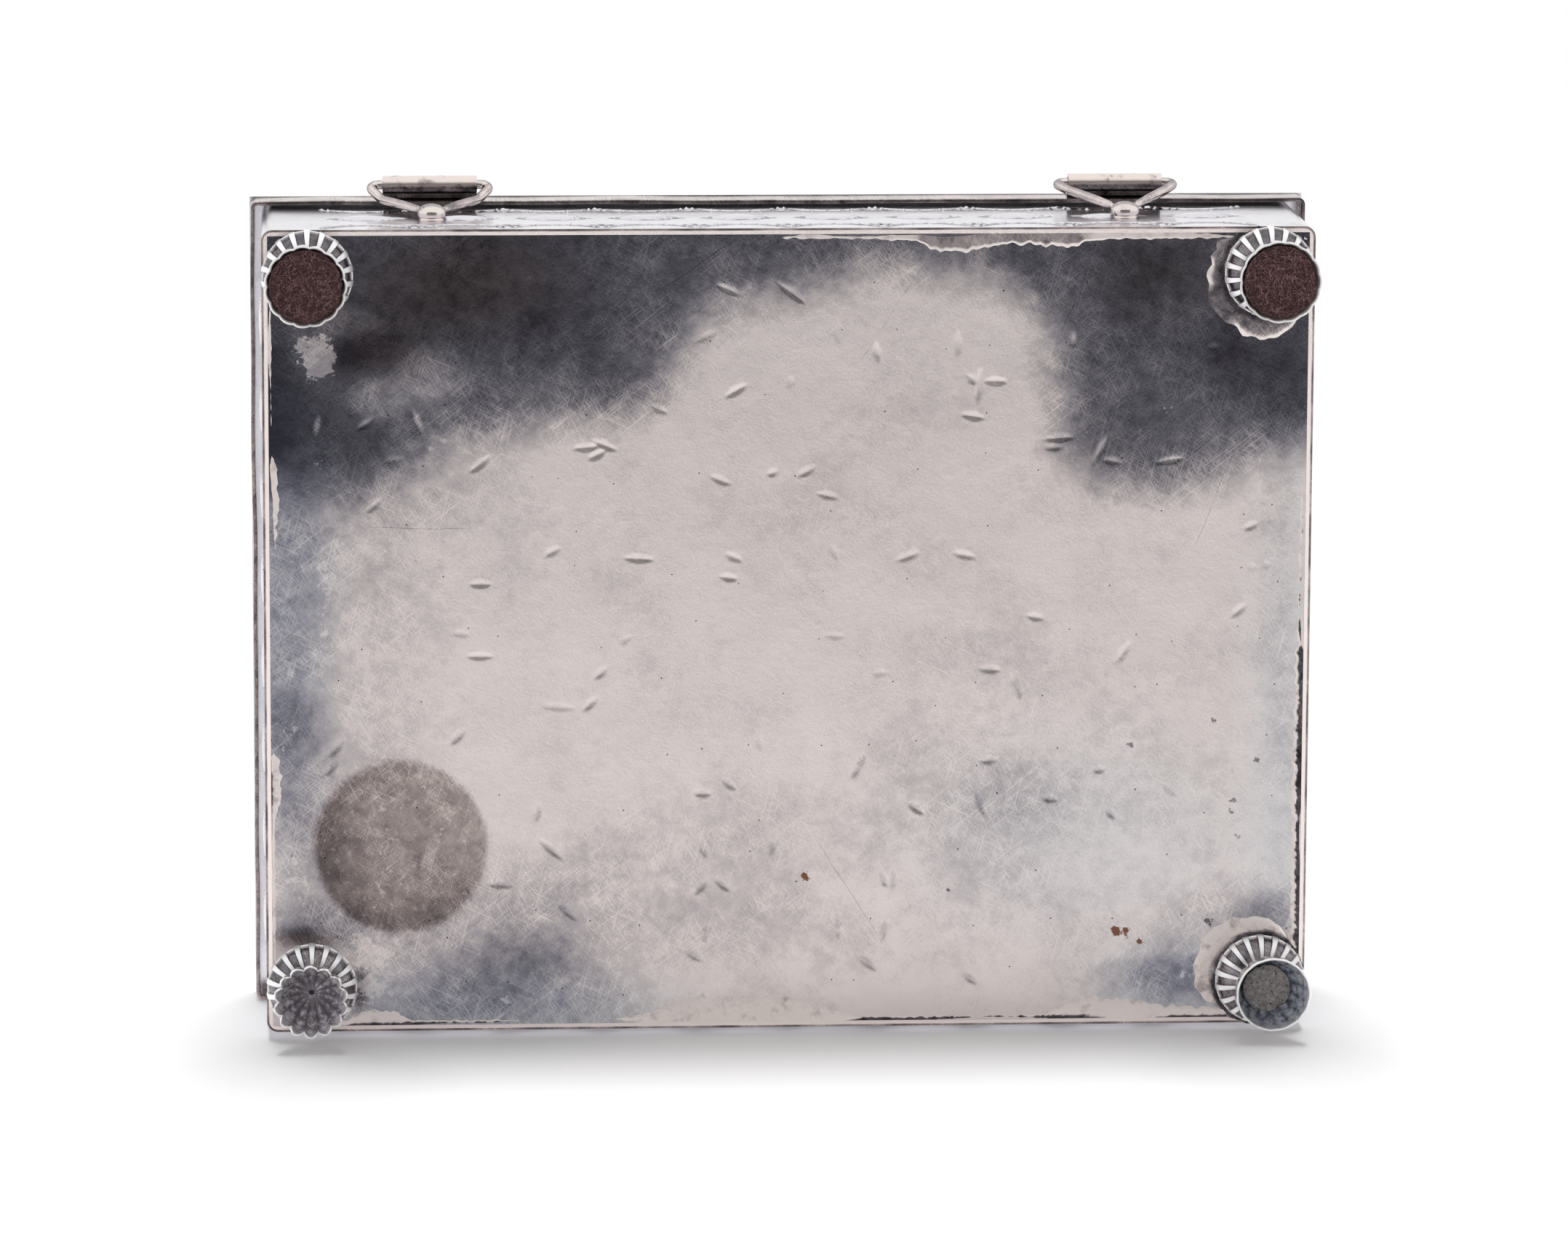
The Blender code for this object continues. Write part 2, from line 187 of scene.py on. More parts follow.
def pick(piece, kind, test):
    """Select the points, edges or faces of a mesh in edit mode for which a test holds."""
    bpy.ops.mesh.select_mode(type={"verts": "VERT", "edges": "EDGE", "faces": "FACE"}[kind])
    bpy.ops.mesh.select_all(action="DESELECT")
    shape = bmesh.from_edit_mesh(piece.data)
    for part in getattr(shape, kind):
        if test(part):
            part.select_set(True)
    shape.select_flush_mode()
    bmesh.update_edit_mesh(piece.data)


def centre(low, high, height):
    """The middle of a box as seen from above, at a height."""
    return Vector(((low.x + high.x) / 2, (low.y + high.y) / 2, height))


def settle():
    """Move the selected object's place, turn and size into its points."""
    bpy.ops.object.transform_apply(location=True, rotation=True, scale=True)


def open_mesh():
    """Go into edit mode with the whole mesh selected."""
    bpy.ops.object.mode_set(mode="EDIT")
    bpy.ops.mesh.select_all(action="SELECT")


def close_mesh():
    """Leave edit mode."""
    bpy.ops.object.mode_set(mode="OBJECT")


def close_outward():
    """Turn all faces outward and leave edit mode."""
    bpy.ops.mesh.select_all(action="SELECT")
    bpy.ops.mesh.normals_make_consistent(inside=False)
    close_mesh()


def pull(x, y, z):
    """Pull the selected edges out, with new faces behind them."""
    bpy.ops.mesh.extrude_region_move(TRANSFORM_OT_translate={"value": (x, y, z)})


def apply_modifier(piece, kind, **settings):
    """Give the selected piece a modifier with its settings, and apply it."""
    modifier = piece.modifiers.new(kind.lower(), kind)
    for name, value in settings.items():
        setattr(modifier, name, value)
    bpy.ops.object.modifier_apply(modifier=modifier.name)


def sheet_grid(name, low, high, height, cell):
    """A flat grid that covers a box as seen from above, at a height."""
    piece = add_primitive(
        name,
        bpy.ops.mesh.primitive_grid_add,
        x_subdivisions=round((high.x - low.x) / cell),
        y_subdivisions=round((high.y - low.y) / cell),
        size=1,
        location=centre(low, high, height),
    )
    piece.scale = (high.x - low.x, high.y - low.y, 1)
    settle()
    return piece


def close_slab(piece, rise):
    """Pull a sheet's edge up or down, close it with one face, and leave edit mode."""
    pick(piece, "edges", lambda edge: edge.is_boundary)
    pull(0, 0, rise)
    bpy.ops.mesh.edge_face_add()
    close_mesh()


def read_points(piece):
    """The points of a mesh as rows of x, y and z."""
    points = np.empty(3 * len(piece.data.vertices), np.float32)
    piece.data.vertices.foreach_get("co", points)
    return points.reshape(-1, 3).astype(float)


def write_points(piece, points):
    """Move the points of a mesh to rows of x, y and z."""
    piece.data.vertices.foreach_set("co", points.astype(np.float32).ravel())
    piece.data.update()


def write_mask(piece, name, values):
    """Keep one value for each point of a mesh, which its material reads."""
    mask = piece.data.attributes.new(name, "FLOAT", "POINT")
    mask.data.foreach_set("value", values.astype(np.float32))


def smooth_step(values):
    """Ease values from 0 to 1, and hold them beyond."""
    held = np.clip(values, 0, 1)
    return held * held * (3 - 2 * held)


def dent_frames():
    """Middle, direction, half length and depth of every dent, on the plate's underside."""
    frames = []
    for strength, marks in DENTS.items():
        for across, down, length, angle in marks:
            turn = math.radians(angle)
            step = (math.cos(turn) * length / 2, -math.sin(turn) * length / 2)
            middle = at_pixel(across, down, plate_low.z)
            tip = at_pixel(across + step[0], down + step[1], plate_low.z)
            along = (tip - middle).xy
            frames.append((middle.xy, along.normalized(), along.length, DENT_DEPTHS[strength]))
    return frames


def finish_piece(piece, body, material, nodes=(), smooth_angle=40):
    """Settle a finished mesh: its place, shading, finish, body and the nodes it stands for."""
    bpy.ops.object.select_all(action="DESELECT")
    piece.select_set(True)
    bpy.context.view_layer.objects.active = piece
    settle()
    bpy.ops.object.shade_smooth_by_angle(angle=math.radians(smooth_angle))
    piece.data.materials.clear()
    piece.data.materials.append(material)
    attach(piece, body)
    if nodes:
        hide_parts(*nodes)


dents = dent_frames()


def near_a_dent(face):
    """Whether a face lies on a dent or close beside one."""
    centre = face.calc_center_median().xy
    return any(
        abs((centre - middle).dot(along)) < half + DENT_MARGIN
        and abs((centre - middle).cross(along)) < DENT_WIDTH / 2 + DENT_MARGIN
        for middle, along, half, _ in dents
    )


plate = sheet_grid("base_plate_hammered", plate_low, plate_high, plate_low.z, PLATE_CELL)
open_mesh()
bpy.ops.mesh.flip_normals()
pick(plate, "faces", near_a_dent)
bpy.ops.mesh.subdivide(number_cuts=DENT_CUTS)
close_slab(plate, plate_high.z - plate_low.z)

hammer_waves = bpy.data.textures.new("hammer_waves", "CLOUDS")
hammer_waves.noise_scale = WAVE_LENGTH
wave = {"texture": hammer_waves, "texture_coords": "LOCAL", "direction": "Z"}
apply_modifier(plate, "DISPLACE", strength=PLATE_WAVE, **wave)

points = read_points(plate)
underside = points[:, 2] < (plate_low.z + plate_high.z) / 2
sunk = np.zeros(len(points))
for middle, along, half, depth in dents:
    offset = points[:, :2] - np.array(middle)
    lengthwise = (offset @ np.array(along)) / half
    sideways = (offset @ np.array((-along.y, along.x))) / (DENT_WIDTH / 2)
    lens = np.clip(1 - lengthwise**2, 0, 1)
    bowl = np.clip(1 - (sideways / np.maximum(lens, DENT_LEAST_SHARE)) ** 2, 0, 1)
    hollow = lens * bowl**DENT_ROUNDNESS
    sunk = np.maximum(sunk, depth * hollow)
points[underside, 2] += sunk[underside]
points[~underside, 2] = plate_high.z
for axis in (0, 1):
    points[points[:, axis] < plate_low[axis] + PLATE_FIT / 2, axis] -= PLATE_FIT
    points[points[:, axis] > plate_high[axis] - PLATE_FIT / 2, axis] += PLATE_FIT
write_points(plate, points)

# Pixels along the edge of the dark zone, from the left end to the right end; its blue-black is
# partly tarnish and partly a painted reflection of dark surroundings
TARNISH_AND_REFLECTION_EDGE = [
    (300, 660), (400, 676), (470, 680), (520, 664), (560, 634), (620, 602), (720, 594),
    (800, 576), (868, 570), (912, 534), (934, 482), (970, 440), (1040, 420), (1100, 400),
    (1180, 372), (1250, 366), (1310, 372), (1350, 384), (1400, 408), (1432, 440), (1440, 500),
    (1455, 560), (1458, 615), (1510, 662), (1600, 672), (1680, 655), (1740, 624), (1840, 600),
]
# Fade and darkness of the dark zone: partly tarnish, partly painted reflection of dark surroundings
DARK_ZONE_FADE_PIXELS = 52
EDGE_TARNISH_AND_REFLECTION = 0.74
DEEP_TARNISH_AND_REFLECTION = 0.10
DEEP_FADE_PIXELS = (30, 140)
CLOUD_FALL = 0.8
CLOUD_ROUNDNESS = 1.5

# Middle, half width and half height in pixels, and how much darker or paler it makes the metal;
# these clouds are partly tarnish and partly painted reflection of the surroundings
TARNISH_AND_REFLECTION_CLOUDS = [
    (650, 400, 190, 85, 0.10), (1570, 365, 85, 50, 0.08), (1740, 490, 75, 70, 0.10),
    (560, 660, 100, 60, 0.10), (420, 655, 50, 45, -0.20), (432, 490, 30, 46, -0.12),
    (455, 440, 55, 20, -0.15),
    (520, 550, 36, 24, -0.25), (585, 520, 50, 34, -0.22), (1000, 405, 45, 16, -0.15),
    (372, 800, 85, 260, 0.27), (385, 1010, 50, 60, 0.20), (400, 700, 65, 70, 0.04),
    (480, 830, 120, 300, 0.14), (640, 1385, 215, 85, 0.38), (640, 1375, 70, 30, 0.10),
    (450, 1275, 85, 34, 0.34), (720, 1270, 100, 80, 0.20), (410, 1150, 50, 120, 0.10),
    (1400, 1080, 80, 55, 0.12), (1400, 1020, 180, 130, 0.07), (1690, 1290, 120, 65, 0.18),
    (1740, 1262, 50, 36, 0.34), (1625, 1345, 60, 46, 0.24), (1590, 1350, 95, 34, 0.24),
    (1150, 740, 70, 80, 0.05),
    (1270, 780, 70, 40, 0.05), (1760, 800, 26, 240, 0.14), (960, 1200, 150, 120, 0.04),
    (500, 1235, 90, 60, 0.12), (600, 700, 220, 60, 0.08), (900, 760, 60, 150, 0.05),
    (420, 1150, 70, 170, 0.16), (690, 1290, 130, 60, 0.13), (760, 1345, 120, 50, 0.10),
    (1150, 1230, 620, 130, 0.06), (1720, 1120, 120, 160, 0.05), (1300, 1110, 260, 60, 0.05),
    (1450, 900, 260, 40, 0.05), (1000, 1280, 180, 50, 0.05), (1250, 560, 60, 140, 0.04),
    (400, 920, 60, 230, 0.08), (1455, 480, 28, 38, -0.13), (880, 1200, 90, 70, 0.08),
    (1340, 1160, 110, 90, 0.06), (480, 490, 22, 26, 0.10), (530, 488, 46, 26, 0.05),
    (410, 1281, 26, 8, 0.30), (414, 1293, 40, 8, 0.26), (494, 1357, 11, 34, 0.50),
]
BROWN_CLOUDS = [
    (640, 385, 120, 60, 0.8), (480, 450, 120, 60, 0.3), (1150, 700, 300, 160, 0.3),
    (1590, 380, 80, 60, 0.4), (530, 488, 60, 34, 0.35), (414, 1293, 44, 12, 1.0),
    (494, 1357, 14, 36, 0.5),
]
BLUE_CLOUDS = [
    (380, 800, 70, 320, 0.8), (660, 1400, 240, 60, 0.9), (1640, 1360, 120, 60, 0.9),
    (1500, 1150, 220, 120, 0.35), (1780, 1100, 60, 400, 0.5),
]

# Where the tarnish is thick, the dents are painted paler by this share of it: a painted
# highlight where their slopes catch the light
DENT_HIGHLIGHT_SHARE = 0.34
DENT_HIGHLIGHT_FROM = 0.3
DENT_HIGHLIGHT_OVER = 0.4

# Middle, half width and half height in pixels, and share of places where tarnish has flaked off
FLAKED_PLACES = [
    (440, 486, 26, 34, 0.85), (402, 470, 22, 16, 0.6), (450, 850, 18, 80, 0.55),
    (590, 762, 18, 26, 0.9), (440, 515, 40, 30, 0.35),
    (893, 1105, 12, 13, 0.8), (515, 1350, 34, 44, 0.8), (408, 1200, 26, 56, 0.6),
    (500, 1300, 70, 24, 0.55), (700, 1375, 24, 10, 0.6),
    (540, 770, 60, 40, 0.40), (1650, 1340, 60, 20, 0.5), (420, 760, 26, 60, 0.45),
    (395, 1000, 20, 60, 0.5), (620, 610, 70, 20, 0.4), (1500, 680, 90, 20, 0.4),
    (450, 640, 30, 20, 0.4), (1605, 560, 20, 12, 0.5),
]

# Long scratches in pixels, from end to end, and their width in millimetres
SCRATCHES = [
    ((1285, 343), (1180, 500), 0.09), ((1480, 410), (1457, 460), 0.07),
    ((500, 724), (650, 727), 0.06), ((1210, 1290), (1120, 1150), 0.05),
    ((1700, 610), (1640, 760), 0.05), ((905, 400), (1010, 330), 0.05),
]
STICKER_PIXEL = (551, 1164)
STICKER_RADIUS_PIXELS = 124
STICKER_FADE_PIXELS = 11
STICKER_TARNISH = 0.36

# Rust specks and dark chips: middle in pixels and radius in millimetres
RUST_SPECKS = [((1534, 1280), 0.8), ((1547, 1281), 0.7), ((1567, 1293), 0.5), ((1107, 1205), 0.6)]
CHIPS = [
    ((1555, 1024), 0.28), ((1728, 1044), 0.38), ((1670, 990), 0.22), ((1662, 1265), 0.6),
    ((1695, 1100), 0.35), ((1693, 1117), 0.3), ((1700, 1149), 0.28), ((1303, 1223), 0.28),
]
INNER_TARNISH = 0.16

# How much darker the dents of the photograph's lower half are made, the pixel row where that
# starts, and the pixels over which it comes in
DENT_DARKENING = 0.15
DENT_DARKENING_FROM = 820
DENT_DARKENING_FADE = 260


def signed_distance(pixels, line):
    """Distance in pixels from a line that runs left to right, positive above it."""
    nearest = np.full(len(pixels), np.inf)
    for start, end in zip(line, line[1:]):
        start, run = np.array(start, float), np.array(end, float) - start
        share = np.clip(((pixels - start) @ run) / (run @ run), 0, 1)
        nearest = np.minimum(nearest, np.hypot(*(pixels - start - share[:, None] * run).T))
    inside = np.zeros(len(pixels), bool)
    ring = [*line, (line[-1][0], -PHOTO_HEIGHT), (line[0][0], -PHOTO_HEIGHT)]
    for (x1, y1), (x2, y2) in zip(ring, [*ring[1:], ring[0]]):
        if y1 != y2:
            crosses = (y1 > pixels[:, 1]) != (y2 > pixels[:, 1])
            x = x1 + (pixels[:, 1] - y1) * (x2 - x1) / (y2 - y1)
            inside ^= crosses & (pixels[:, 0] < x)
    return np.where(inside, nearest, -nearest)


def clouds(pixels, places):
    """Sum of soft oval clouds, each with its amount at its middle."""
    total = np.zeros(len(pixels))
    for across, down, wide, high, amount in places:
        reach = ((pixels[:, 0] - across) / wide) ** 2 + ((pixels[:, 1] - down) / high) ** 2
        total += amount * np.exp(-(reach**CLOUD_ROUNDNESS) * CLOUD_FALL)
    return total


pixels = pixels_of(points)
# The tarnish mask holds painted reflection as well as tarnish: the dark zone and the clouds
depth_in = signed_distance(pixels, TARNISH_AND_REFLECTION_EDGE)
tarnish = EDGE_TARNISH_AND_REFLECTION * smooth_step((depth_in + DARK_ZONE_FADE_PIXELS) / (2 * DARK_ZONE_FADE_PIXELS))
tarnish += DEEP_TARNISH_AND_REFLECTION * smooth_step(
    (depth_in - DEEP_FADE_PIXELS[0]) / (DEEP_FADE_PIXELS[1] - DEEP_FADE_PIXELS[0])
)
# Clouds of painted reflection and tarnish, darker or paler
tarnish += clouds(pixels, TARNISH_AND_REFLECTION_CLOUDS)
from_sticker = np.hypot(pixels[:, 0] - STICKER_PIXEL[0], pixels[:, 1] - STICKER_PIXEL[1])
sticker = smooth_step((STICKER_RADIUS_PIXELS - from_sticker) / STICKER_FADE_PIXELS)
dented = np.clip(sunk / DENT_DEPTHS["plain"], 0, 1)
# Painted highlight: dents in thick tarnish are made paler, as if their slopes caught the light
brightened = dented * smooth_step((tarnish - DENT_HIGHLIGHT_FROM) / DENT_HIGHLIGHT_OVER)
tarnish -= DENT_HIGHLIGHT_SHARE * brightened
low_in_photo = smooth_step((pixels[:, 1] - DENT_DARKENING_FROM) / DENT_DARKENING_FADE)
tarnish += DENT_DARKENING * low_in_photo * dented
write_mask(plate, "tarnish", np.where(underside, tarnish, INNER_TARNISH))
for name, places in (("flaked", FLAKED_PLACES), ("brown", BROWN_CLOUDS), ("blue", BLUE_CLOUDS)):
    write_mask(plate, name, clouds(pixels, places) * underside)
write_mask(plate, "sticker", sticker * underside)


def add_node(tree, kind, inputs=None, **settings):
    """Add a shader node; inputs are values, or outputs of other nodes to link."""
    node = tree.nodes.new(kind)
    for name, value in settings.items():
        setattr(node, name, value)
    for name, value in (inputs or {}).items():
        if isinstance(value, bpy.types.NodeSocket):
            tree.links.new(value, node.inputs[name])
        else:
            node.inputs[name].default_value = value
    return node


def calc(tree, operation, *values, clamp=False):
    """The result of a Math node on values or outputs."""
    inputs = dict(enumerate(values))
    return add_node(tree, "ShaderNodeMath", inputs, operation=operation, use_clamp=clamp).outputs[0]


def remap(tree, value, low, high, to_low=0.0, to_high=1.0):
    """A value's range mapped smoothly to another range, and held beyond it."""
    inputs = {0: value, 1: low, 2: high, 3: to_low, 4: to_high}
    node = add_node(tree, "ShaderNodeMapRange", inputs, interpolation_type="SMOOTHSTEP")
    return node.outputs[0]


def blend_colours(tree, share, first, second):
    """Two colours mixed by a share of the second."""
    inputs = {"Fac": share, "Color1": first, "Color2": second}
    return add_node(tree, "ShaderNodeMixRGB", inputs).outputs[0]


def sway(tree, value, wave, amount):
    """A value moved up and down by noise."""
    return calc(tree, "MULTIPLY_ADD", calc(tree, "SUBTRACT", wave, 0.5), amount, value)


def noise(tree, vector, per_mm, detail=2.0, roughness=0.5, stretch=None, turn=0.0):
    """Noise in millimetres, which may be turned, and then stretched along each of its own axes."""
    if stretch:
        mapping = {"Vector": vector, "Rotation": (0, 0, math.radians(turn)), "Scale": stretch}
        vector = add_node(tree, "ShaderNodeMapping", mapping, vector_type="TEXTURE").outputs[0]
    inputs = {"Vector": vector, "Scale": per_mm, "Detail": detail, "Roughness": roughness}
    return add_node(tree, "ShaderNodeTexNoise", inputs).outputs["Fac"]


def mask_of(tree, name):
    """A value kept on the points of the mesh."""
    return add_node(tree, "ShaderNodeAttribute", attribute_name=name).outputs["Fac"]


def linear(red, green, blue):
    """A colour of the photograph, from 0 to 255, as Blender's linear colour."""
    shares = [value / 255 for value in (red, green, blue)]
    return (*[s / 12.92 if s < 0.04 else ((s + 0.055) / 1.055) ** 2.4 for s in shares], 1)


def ramp(tree, value, stops):
    """A colour ramp from places to colours."""
    node = add_node(tree, "ShaderNodeValToRGB", {"Fac": value})
    elements = node.color_ramp.elements
    for place, colour in stops[1:-1]:
        elements.new(place).color = colour
    elements[0].position, elements[0].color = stops[0]
    elements[-1].position, elements[-1].color = stops[-1]
    return node.outputs["Color"]


def new_group(name, inputs, outputs):
    """A shader node group with named number, vector and colour sockets."""
    kinds = {"number": "NodeSocketFloat", "vector": "NodeSocketVector", "colour": "NodeSocketColor"}
    tree = bpy.data.node_groups.new(name, "ShaderNodeTree")
    for socket, kind in inputs.items():
        tree.interface.new_socket(socket, in_out="INPUT", socket_type=kinds[kind])
    for socket, kind in outputs.items():
        tree.interface.new_socket(socket, in_out="OUTPUT", socket_type=kinds[kind])
    return tree, tree.nodes.new("NodeGroupInput").outputs, tree.nodes.new("NodeGroupOutput").inputs


# How much brighter the metal itself is than it looks, because part of what it mirrors is dark
SILVER_GAIN = 1.25


def silver(red, green, blue):
    """The metal's own colour where it looks like a colour of the photograph."""
    return (*[min(value * SILVER_GAIN, 0.95) for value in linear(red, green, blue)[:3]], 1)


NEUTRAL_TARNISH = [
    (0.00, silver(203, 194, 192)), (0.15, silver(178, 170, 169)), (0.36, silver(148, 142, 145)),
    (0.55, silver(114, 111, 117)), (0.76, silver(80, 79, 86)), (1.00, silver(44, 42, 48)),
]
BROWN_TARNISH = [
    (0.00, silver(196, 185, 181)), (0.20, silver(165, 153, 150)), (0.40, silver(134, 123, 121)),
    (0.70, silver(84, 76, 76)), (1.00, silver(36, 31, 33)),
]
BLUE_TARNISH = [
    (0.00, silver(191, 193, 197)), (0.20, silver(164, 165, 172)), (0.45, silver(128, 129, 140)),
    (0.70, silver(84, 86, 97)), (1.00, silver(44, 45, 54)),
]


# Turn in degrees, length and width in millimetres of each set of fine scratches
HAIRLINES = ((24, 9, 0.12), (62, 5, 0.11), (-38, 6, 0.11), (-75, 10, 0.13), (48, 3, 0.10))


def hairlines(tree, place):
    """Mask of fine polishing scratches in several directions."""
    total = 0.0
    for turn, length, width in HAIRLINES:
        stretch = (length, width, length)
        lines = noise(tree, place, 1.0, detail=1, stretch=stretch, turn=turn)
        total = calc(tree, "ADD", total, remap(tree, lines, 0.57, 0.68))
    patches = remap(tree, noise(tree, place, 0.12), 0.40, 0.60, 0.2, 1.0)
    return calc(tree, "MULTIPLY", total, patches, clamp=True)


def make_tarnished_silver():
    """Node group: silver from bare to blue-black, clouded, grained and scratched."""
    tree, given, put = new_group(
        "tarnished_silver",
        {"Millimetres": "vector", "Tarnish": "number", "Brown": "number", "Blue": "number"},
        {"Color": "colour", "Roughness": "number", "Height": "number"},
    )
    place, amount = given["Millimetres"], given["Tarnish"]
    drift = noise(tree, place, 0.09, detail=3)
    cloud = noise(tree, place, 0.50, detail=8, roughness=0.62)
    grain = noise(tree, place, 4.0, detail=4, roughness=0.7)
    scratches = hairlines(tree, place)
    fading = calc(tree, "MULTIPLY", amount, calc(tree, "SUBTRACT", 1.0, amount), clamp=True)
    swing = calc(tree, "MULTIPLY_ADD", fading, 1.7, 0.20)
    cloudy = calc(tree, "MULTIPLY", calc(tree, "SUBTRACT", cloud, 0.5), swing)
    amount = calc(tree, "ADD", amount, cloudy)
    amount = sway(tree, amount, drift, 0.34)
    amount = sway(tree, amount, grain, 0.16)
    scratched = calc(tree, "MULTIPLY_ADD", fading, -0.85, -0.045)
    amount = calc(tree, "MULTIPLY_ADD", scratches, scratched, amount, clamp=True)
    colour = ramp(tree, amount, NEUTRAL_TARNISH)
    colour = blend_colours(tree, given["Blue"], colour, ramp(tree, amount, BLUE_TARNISH))
    colour = blend_colours(tree, given["Brown"], colour, ramp(tree, amount, BROWN_TARNISH))
    rough = calc(tree, "MULTIPLY_ADD", grain, 0.10, remap(tree, amount, 0.1, 0.9, 0.26, 0.20))
    height = calc(tree, "MULTIPLY_ADD", cloud, 0.05, calc(tree, "MULTIPLY", grain, 0.008))
    height = calc(tree, "MULTIPLY_ADD", scratches, -0.004, height)
    tree.links.new(colour, put["Color"])
    tree.links.new(rough, put["Roughness"])
    tree.links.new(height, put["Height"])
    return tree


tarnished_silver = make_tarnished_silver()


def millimetres(tree):
    """Object coordinates in millimetres."""
    place = add_node(tree, "ShaderNodeTexCoord").outputs["Object"]
    inputs = {"Vector": place, "Scale": (1 / MM, 1 / MM, 1 / MM)}
    return add_node(tree, "ShaderNodeMapping", inputs).outputs[0]


def new_material(name, metallic=1.0):
    """A material, its node tree, its Principled shader and its place in millimetres."""
    material = bpy.data.materials.new(name)
    material.use_nodes = True
    tree = material.node_tree
    shader = tree.nodes["Principled BSDF"]
    shader.inputs["Metallic"].default_value = metallic
    return material, tree, shader, millimetres(tree)


def rub_bright(tree, metal, dullness, until, share, colour):
    """The metal's colour, rubbed to a bright one in part where its dullness is low."""
    brightened = remap(tree, dullness, 0.0, until, share, 0.0)
    return blend_colours(tree, brightened, metal["Color"], colour)


def dress(tree, shader, colour, roughness, height, strength=1.0):
    """Feed a Principled shader with a colour, a roughness and a relief in millimetres."""
    inputs = {"Height": height, "Distance": MM, "Strength": strength}
    relief = add_node(tree, "ShaderNodeBump", inputs).outputs["Normal"]
    tree.links.new(colour, shader.inputs["Base Color"])
    tree.links.new(roughness, shader.inputs["Roughness"])
    tree.links.new(relief, shader.inputs["Normal"])


def aged_silver(tree, place, tarnish, brown=0.0, blue=0.0):
    """The outputs of the tarnished silver group for one material."""
    inputs = {"Millimetres": place, "Tarnish": tarnish, "Brown": brown, "Blue": blue}
    return add_node(tree, "ShaderNodeGroup", inputs, node_tree=tarnished_silver).outputs


def scratch_line(tree, place, start, end, width):
    """Mask of one long scratch between two pixels of the photograph."""
    first, last = [at_pixel(*pixel, plate_low.z) / MM for pixel in (start, end)]
    middle, run = (first + last) / 2, last - first
    turn = -math.atan2(run.y, run.x)
    moved = add_node(tree, "ShaderNodeVectorMath", {0: place, 1: middle}, operation="SUBTRACT")
    inputs = {"Vector": moved.outputs[0], "Rotation": (0, 0, turn)}
    turned = add_node(tree, "ShaderNodeMapping", inputs).outputs[0]
    parts = add_node(tree, "ShaderNodeSeparateXYZ", {0: turned}).outputs
    bow = calc(tree, "MULTIPLY", noise(tree, place, 0.15), 0.8)
    across = calc(tree, "ABSOLUTE", calc(tree, "ADD", parts["Y"], calc(tree, "SUBTRACT", bow, 0.4)))
    along = calc(tree, "ABSOLUTE", parts["X"])
    thin = remap(tree, across, width * 0.4, width, 1.0, 0.0)
    ends = remap(tree, along, run.length * 0.35, run.length * 0.5, 1.0, 0.0)
    return calc(tree, "MULTIPLY", thin, ends)


RUST_BROWN = silver(108, 74, 60)
PIT_CELL_MM = 8.0
PIT_RADIUS_MM = 0.13


def spots(tree, place, marks):
    """Mask of small ragged spots, each at a pixel of the photograph."""
    ragged = calc(tree, "MULTIPLY_ADD", noise(tree, place, 1.5, detail=5, roughness=0.7), 2.6, -1.3)
    total = 0.0
    for pixel, radius in marks:
        middle = at_pixel(*pixel, plate_low.z) / MM
        away = add_node(tree, "ShaderNodeVectorMath", {0: place, 1: middle}, operation="DISTANCE")
        reach = calc(tree, "ADD", away.outputs["Value"], ragged)
        total = calc(tree, "ADD", total, remap(tree, reach, radius * 0.6, radius, 1.0, 0.0))
    return calc(tree, "MINIMUM", total, 1.0)


def scattered_pits(tree, place):
    """Mask of tiny dark pits strewn over the metal, some cells without one."""
    inputs = {"Vector": place, "Scale": 1 / PIT_CELL_MM}
    cells = add_node(tree, "ShaderNodeTexVoronoi", inputs, voronoi_dimensions="2D").outputs
    radius = PIT_RADIUS_MM / PIT_CELL_MM
    dots = remap(tree, cells["Distance"], radius * 0.6, radius, 1.0, 0.0)
    chosen = remap(tree, cells["Color"], 0.45, 0.5)
    return calc(tree, "MULTIPLY", dots, chosen)


